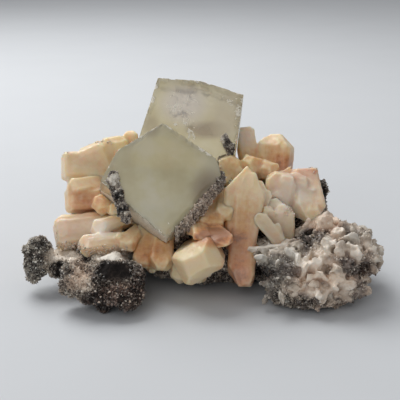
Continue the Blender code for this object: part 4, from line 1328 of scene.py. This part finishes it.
class SPECIMEN_OT_studio(bpy.types.Operator):
    """Lays the pale floor, hangs the soft lights and sets up the camera at the photograph's angle."""

    bl_idname = "specimen.studio"
    bl_label = "Studio"

    def execute(self, context):
        settings = context.scene.specimen.studio
        corners = [(x * BOARD_REACH, y * BOARD_REACH, 0) for x, y in ((-1, -1), (1, -1), (1, 1), (-1, 1))]
        data = bpy.data.meshes.new("photo_board")
        data.from_pydata(corners, [], [(0, 1, 2, 3)])
        board = link("photo_board", data)
        board.data.materials.append(floor_material(settings.floor))
        for name, power, side, place, aim in STUDIO_LIGHTS:
            light = bpy.data.lights.new(name, "AREA")
            light.energy = power * settings.overhead
            light.size = side
            lamp = link(name, light)
            lamp.location = place
            lamp.rotation_euler = (Vector(aim) - Vector(place)).to_track_quat("-Z", "Y").to_euler()
        world = bpy.data.worlds.new("even_room_light")
        world.use_nodes = True
        room = world.node_tree.nodes["Background"]
        room.inputs["Color"].default_value = linear("#EDEDEF")
        room.inputs["Strength"].default_value = settings.fill
        context.scene.world = world
        camera = bpy.data.cameras.new("front_view")
        camera.sensor_width = 36
        camera.lens = camera.sensor_width * SIGHT_DISTANCE / FRAME_WIDTH
        camera.clip_start = 0.01
        viewer = link("front_view", camera)
        viewer.location = (SIGHT_CENTRE - SIGHT_DISTANCE * AWAY) * MM
        viewer.rotation_euler = (math.pi / 2 - SIGHT_ELEVATION, 0, 0)
        context.scene.camera = viewer
        context.scene.view_settings.view_transform = "Standard"
        return {"FINISHED"}


# Fineness of the fused rock, in millimetres, the sizes of the crumbs on it, and the most grains in one piece
# of druse.
ROCK_VOXEL = 0.78
CRUMBS = (4.5, 2.2, 1.3)
GRAINS_A_PIECE = 15000


class SPECIMEN_OT_basalt(bpy.types.Operator):
    """Shapes the basalt matrix as overlapping lumps of broken rock, carved round the calcite, and grows druse
    on it."""

    bl_idname = "specimen.basalt"
    bl_label = "Basalt matrix"

    def execute(self, context):
        settings = context.scene.specimen.basalt
        relief = settings.relief / MM
        lumps = [rock_lump(lump, 1.15, relief, 0.9) for lump in MATRIX_LUMPS]
        points, triangles, ways = fused(lumps, ROCK_VOXEL)
        crumble = rough_noise(points, CRUMBS, 310)
        points = points + ways * (2.6 * relief * crumble - 0.4 * relief)[:, None]
        points = carved(points, 0)
        grit = rough_noise(points, (1.6, 0.9), 311)
        undercoat = druse_ground(points)
        calm = 1 - 0.6 * smoothstep(0.5, 0.9, undercoat[:, :1])
        # Partly frost and partly painted shade: the undercoat is paler where the crumbled rock bulges and
        # darker in its pits.
        undercoat = undercoat + calm * (crumble[:, None] * (0.5, 0.2) + grit[:, None] * (0.35, 0.2))
        shade, warmth = undercoat.T
        piece = mesh_object("basalt_rock", points, triangles, True, {"shade": shade, "warmth": warmth})
        settle(piece, basalt_material(settings), "basalt", "basalt_matrix")
        self.grow_druse(Surface(points, triangles), settings)
        return {"FINISHED"}

    def grow_druse(self, rock, settings):
        """Druse on the open rock: in patches 5 mm across, thicker in front, and none where it is black or
        closed."""
        draw = np.random.default_rng(71)
        places, ways = sampled(rock, 3 * settings.grains, draw)
        free = in_the_open(places, [], 0)
        coat = value_noise(places / 5.0, 77) + 0.6 * smoothstep(10, -20, places[:, 1])
        free &= coat > draw.uniform(-0.9, 0.3, len(places))
        ground = druse_ground(places)[:, 0]
        free &= ground > draw.uniform(0, 0.12, len(places))
        free &= ground < draw.uniform(0.55, 1.25, len(places))
        places, ways = places[free][: settings.grains], ways[free][: settings.grains]
        shades = druse_ground(places)
        calm = 1 - 0.6 * smoothstep(0.5, 0.9, shades[:, 0])
        # The grains too are paler on the bulges of the crumbled rock and darker in its pits, partly frost and
        # partly painted shade.
        shades[:, 0] += calm * (0.3 * rough_noise(places, CRUMBS, 310) + 0.12 * value_noise(places / 1.5, 78))
        sugar = druse_material("druse_sugar_on_basalt", 0.25)
        parts = np.array_split(np.argsort(places[:, 0]), math.ceil(len(places) / GRAINS_A_PIECE))
        for number, chosen in enumerate(parts, 1):
            name, size = f"basalt_druse_{number}", settings.grain / MM
            grains = strewn_druse(name, places[chosen], ways[chosen], shades[chosen], size, 72 + number)
            settle(grains, sugar, "druse")


# The number of small young crystals on the rock behind.
YOUNG_CRYSTALS = 420
# How often the creases between grown-together crystals are filled a little more.
CREASE_ROUNDS = 14
# How many times as many crystals sprout from the blades behind, which nothing else covers.
SPROUTS_BEHIND = 4
# How far a crease has filled where its colour, partly painted shade, is full, and how far an edge stands out
# where its paleness, partly a painted highlight, is full, in millimetres.
FULL_CREASE, FULL_EDGE = 1.2, 0.05


class SPECIMEN_OT_stilbite(bpy.types.Operator):
    """Grows every group of stilbite blades as one piece, young crystals on the rock behind, and frost on them
    all."""

    bl_idname = "specimen.stilbite"
    bl_label = "Stilbite groups"

    def execute(self, context):
        settings = context.scene.specimen.stilbite
        material = stilbite_material(settings)
        draw = np.random.default_rng(34)
        frost = []
        for number, (name, blades) in enumerate(STILBITE_GROUPS.items()):
            group = self.grow_group(name, blades, 1000 * number + 1, settings, material)
            places, outwards = sampled(group, 9000, draw)
            patches = zone_mix(places, FROST_ZONES, (0,))[:, 0] + 0.3 * value_noise(places / 1.8, 35)
            frosted = patches > draw.uniform(0.35, 1.6, len(places))
            frost.append((places[frosted], outwards[frosted]))
        self.grow_young(material)
        places, outwards = (np.concatenate(parts) for parts in zip(*frost))
        shades = np.full((len(places), 2), (0.85, 0.6))
        sugar = strewn_druse("stilbite_frost", places, outwards, shades, 0.62, 36)
        settle(sugar, druse_material("druse_frost_on_stilbite", 0.3), "druse")
        return {"FINISHED"}

    def grow_group(self, name, blades, seed, settings, material):
        """One group: its blades and their sprouts fused, the creases filled, and a fine roughness laid on."""
        sprouts = settings.sprouts * (SPROUTS_BEHIND if "back" in name else 1)
        wear = SHEAF_WEAR if "sheaf" in name else STILBITE_WEAR
        surfaces = []
        for order, blade in enumerate(blades):
            surfaces += blade_bundle(blade, seed + 50 * order, sprouts, wear)
        points, triangles, _ = fused(surfaces, settings.voxel / MM)
        points, crease, edge = creases_filled(points, triangles, CREASE_ROUNDS)
        ways = outward_ways(points, triangles)
        place, growth = owner_places(points, [blade_body(blade) for blade in blades])
        points = points + ways * (0.16 * rough_noise(points, (1.6, 0.8), 33) - 0.1)[:, None]
        points = carved(points, 0.2)
        # The crease attribute carries painted shade mixed with the darker colour of the joints, and the edge
        # attribute pale edges that are partly bruised and partly a painted highlight.
        attributes = {
            "growth": growth, "place": place * MM,
            "tint": zone_mix(points, STILBITE_ZONES, PLAIN_STILBITE, 1.3),
            "crease": np.clip(crease / FULL_CREASE, 0, 1), "edge": np.clip(edge / FULL_EDGE, 0, 1),
        }
        piece = mesh_object(name + "_blades", points, triangles, True, attributes)
        piece.data.set_sharp_from_angle(angle=math.radians(SHARP_ANGLE))
        settle(piece, material, "stilbite", name)
        return Surface(points, triangles)

    def grow_young(self, material):
        """Small young crystals that stand in clumps on the rock behind."""
        draw = np.random.default_rng(37)
        rock = joined([rock_lump(lump, 1.5, 0, 0.9) for lump in MATRIX_LUMPS])
        places, ways = sampled(rock, 9000, draw)
        x, y, z = places.T
        chosen = in_the_open(places, MATRIX_LUMPS, 1.0) & (y > 6) & (y < 43) & (x < 40)
        chosen &= (z > 6) & (value_noise(places / 8.0, 38) > draw.uniform(-0.2, 0.6, len(places)))
        places, ways = places[chosen][:YOUNG_CRYSTALS], ways[chosen][:YOUNG_CRYSTALS]
        count = len(places)
        points, triangles = bladelets(places, ways, 3.4, 6, (0.34, 0.5), (0.22, 0.34), 0.45, 0.7, draw)
        tint = draw.uniform((0.3, 0.4, 0.0), (1.0, 0.95, 0.4), (count, 3))
        tint = np.repeat(tint, len(BLADELET[0]), axis=0)
        growth, plain = np.tile(np.clip(BLADELET[0][:, 2], 0, 1), count), np.zeros(len(points))
        attributes = {"growth": growth, "tint": tint, "place": points * MM, "crease": plain, "edge": plain}
        piece = mesh_object("stilbite_young_crystals", points, triangles, False, attributes)
        settle(piece, material, "stilbite")


# The height, in millimetres, up to which a rhomb's under faces are broken and white.
BROKEN_BELOW = {"calcite_rhomb_front": 40, "calcite_rhomb_back": 0}
# The share of the light that goes through the faces of each rhomb, and is not scattered back by its milk.
CLEARNESS = {"calcite_rhomb_front": 0.46, "calcite_rhomb_back": 0.6}


class SPECIMEN_OT_calcite(bpy.types.Operator):
    """Cleaves the two calcite rhombs and whitens their bruised edges, healed fractures and broken under
    faces."""

    bl_idname = "specimen.calcite"
    bl_label = "Calcite rhombs"

    def execute(self, context):
        settings = context.scene.specimen.calcite
        chipped = chipped_calcite_material()
        for order, (name, rhomb) in enumerate(CALCITE_RHOMBS.items()):
            (points, triangles), behind_face, rim = rhomb_surface(rhomb, settings.spacing / MM, 40 + order)
            tint = zone_mix(points, CALCITE_ZONES, (0, 0, 0))
            tint[:, 2] = smoothstep(1.0, 2.5, behind_face)
            piece = mesh_object(name + "_crystal", points, triangles, True, {"growth": rim, "tint": tint})
            piece.data.set_sharp_from_angle(angle=math.radians(SHARP_ANGLE))
            material = calcite_material("calcite_milky_" + name.split("_")[-1], settings, CLEARNESS[name])
            settle(piece, material, "calcite", name)
            piece.data.materials.append(chipped)
            middles = points[triangles].mean(axis=1)
            bruised = rim[triangles].mean(axis=1) + 0.5 * rough_noise(middles, (2.6, 1.0), 61) > 1.12
            wisps = 0.22 * zone_mix(middles, CALCITE_WISPS, (0,))[:, 0] - 0.05
            healed = np.abs(rough_noise(middles, (2.4, 1.0), 62)) < wisps
            a, b, c = points[triangles].transpose(1, 0, 2)
            facing = unit(np.cross(b - a, c - a))
            broken = (facing[:, 2] < -0.25) & (behind_face[triangles].mean(axis=1) > 0.4)
            broken &= middles[:, 2] < BROKEN_BELOW[name]
            piece.data.polygons.foreach_set("material_index", (bruised | healed | broken).astype(np.int32))
        return {"FINISHED"}


class SPECIMEN_OT_rhomb_druse(bpy.types.Operator):
    """Grows the dark sugary crusts on the edges of the rhombs."""

    bl_idname = "specimen.rhomb_druse"
    bl_label = "Druse on the rhombs"

    def execute(self, context):
        settings = context.scene.specimen.basalt
        rock = basalt_material(settings)
        sugar = druse_material("druse_sugar_on_calcite", 0.25)
        for order, (name, row) in enumerate(RHOMB_CRUSTS.items()):
            lumps = [
                Lump(tuple(seen(*place) - SIGHT_CENTRE * (1, 1, 0)), radii, 60 + number, rough=0.2, grain=1.8)
                for number, (place, radii) in enumerate(row)
            ]
            core = joined([rock_lump(lump, 0.4, 0.25, 0.5) for lump in lumps])
            shade, warmth = self.ground(core.points, CRUST_CONTRAST[name]).T
            piece = mesh_object(name + "_core", *core, True, {"shade": shade, "warmth": warmth})
            settle(piece, rock, "basalt", name)
            draw = np.random.default_rng(500 + order)
            places, ways = sampled(core, 4800, draw)
            free = (draw.random(len(places)) < 0.85) & ~inside_rhombs(places)
            places, ways = places[free], ways[free]
            shades = self.ground(places, CRUST_CONTRAST[name])
            size = 0.9 * settings.grain / MM
            grains = strewn_druse(name + "_sugar", places, ways, shades, size, 510 + order)
            settle(grains, sugar, "druse")
        return {"FINISHED"}

    def ground(self, points, contrast):
        """The shade and warmth of the crusts, with a contrast of their own in patches under 2 mm across."""
        shades = druse_ground(points)
        shades[:, 0] += contrast * value_noise(points / 1.6, 79)
        return shades


# The lumps of rock under the bladed crust, how many slabs are heaped on it, and how finely it is fused, in
# millimetres.
CRUST_GROUND = slice(10, 12)
CRUST_SLABS = 440
CRUST_VOXEL = 0.48


class SPECIMEN_OT_bladed_crust(bpy.types.Operator):
    """Heaps the short cream blades, the slabs and the sugar between them on the right."""

    bl_idname = "specimen.bladed_crust"
    bl_label = "Bladed crust"

    def execute(self, context):
        settings = context.scene.specimen
        draw = np.random.default_rng(81)
        lumps = CRUST_LUMPS + MATRIX_LUMPS[CRUST_GROUND]
        surfaces = [rock_lump(lump, 0.8, 0.8, 1.2) for lump in CRUST_LUMPS]
        for order, blade in enumerate(CRUST_BLADES):
            surfaces += blade_bundle(blade, 50000 + 50 * order, 3, CRUST_WEAR)
        surfaces.append(self.slabs(lumps, draw))
        points, triangles, ways = fused(surfaces, CRUST_VOXEL)
        crumble = rough_noise(points, (2.2, 1.1, 0.6), 96)
        points = points + ways * (0.75 * crumble - 0.35)[:, None]
        points = carved(points, 0.3)
        # Painted light and shade: what stands out is paler than what lies deep.
        ground = druse_ground(points)
        painted_height_shade = 0.5 * smoothstep(-0.5, 3.2, self.height(points, lumps)) + 0.35 * crumble
        shade = np.clip(0.08 + 0.5 * ground[:, 0] + painted_height_shade * (0.3 + 0.75 * ground[:, 0]), 0, 0.95)
        warmth = np.clip(ground[:, 1] + 0.25 * rough_noise(points, (6, 3), 97), 0, 1)
        crust = mesh_object("crust_blades", points, triangles, True, {"shade": shade, "warmth": warmth})
        settle(crust, druse_material("druse_cream_blades", 0.3), "druse", "bladed_crust_right")
        places, ways = sampled(Surface(points, triangles), 21000, draw)
        shades = druse_ground(places)
        proud = self.height(places, lumps)
        cover = value_noise(places / 2.4, 92) - 1.2 * shades[:, 0] - 0.15 * proud
        dusted = cover > draw.uniform(-1.1, 0, len(places))
        places, ways, shades = places[dusted], ways[dusted], shades[dusted]
        # Painted light: grains that stand out are a little paler.
        shades[:, 0] += 0.3 * value_noise(places / 1.6, 91) + 0.05 * proud[dusted]
        sugar = strewn_druse("crust_sugar", places, ways, shades, 1.1 * settings.basalt.grain / MM, 82)
        settle(sugar, druse_material("druse_sugar_on_crust", 0.25), "druse")
        return {"FINISHED"}

    def slabs(self, lumps, draw):
        """Thick slabs that lean every way, more of them where the druse is pale."""
        places, ways = sampled(joined([rock_lump(lump, 1.0, 0.8, 1.2) for lump in lumps]), 6000, draw)
        chosen = in_the_open(places, CRUST_LUMPS, 2.5) & (places[:, 0] > 22) & (places[:, 2] > 3.5)
        chosen &= druse_ground(places)[:, 0] > draw.uniform(0.05, 0.75, len(places))
        places, ways = places[chosen][:CRUST_SLABS], ways[chosen][:CRUST_SLABS]
        return Surface(*bladelets(places, ways, 6.2, 9, (0.26, 0.44), (0.14, 0.26), 0.9, 0.6, draw))

    def height(self, points, lumps):
        """How far points stand over the nearest of the lumps."""
        return np.min([lump_height(points, lump) for lump in lumps], axis=0)


class SPECIMEN_PT_panel(bpy.types.Panel):
    """The specimen's pieces and their settings."""

    bl_idname = "SPECIMEN_PT_panel"
    bl_label = "Stilbite cluster"
    bl_space_type = "VIEW_3D"
    bl_region_type = "UI"
    bl_category = "Stilbite"

    def draw(self, context):
        settings = context.scene.specimen
        for group, operators in PANEL_ROWS:
            box = self.layout.box()
            for operator in operators:
                box.operator(operator.bl_idname)
            values = getattr(settings, group)
            for key in values.__annotations__:
                box.prop(values, key)


PANEL_ROWS = [
    ("studio", [SPECIMEN_OT_studio]),
    ("basalt", [SPECIMEN_OT_basalt, SPECIMEN_OT_rhomb_druse, SPECIMEN_OT_bladed_crust]),
    ("stilbite", [SPECIMEN_OT_stilbite]),
    ("calcite", [SPECIMEN_OT_calcite]),
]
CLASSES = [
    StudioSettings,
    StilbiteSettings,
    CalciteSettings,
    BasaltSettings,
    SpecimenSettings,
    SPECIMEN_OT_studio,
    SPECIMEN_OT_basalt,
    SPECIMEN_OT_stilbite,
    SPECIMEN_OT_calcite,
    SPECIMEN_OT_rhomb_druse,
    SPECIMEN_OT_bladed_crust,
    SPECIMEN_PT_panel,
]


def register():
    """Registers the classes and hangs the settings on the scene."""
    for entry in CLASSES:
        bpy.utils.register_class(entry)
    bpy.types.Scene.specimen = PointerProperty(type=SpecimenSettings)


def unregister():
    """Takes the settings and the classes away again."""
    del bpy.types.Scene.specimen
    for entry in reversed(CLASSES):
        bpy.utils.unregister_class(entry)


def main():
    """Builds the specimen and its studio."""
    register()
    bpy.ops.specimen.studio()
    bpy.ops.specimen.basalt()
    bpy.ops.specimen.stilbite()
    bpy.ops.specimen.calcite()
    bpy.ops.specimen.rhomb_druse()
    bpy.ops.specimen.bladed_crust()


if __name__ == "__main__":
    main()
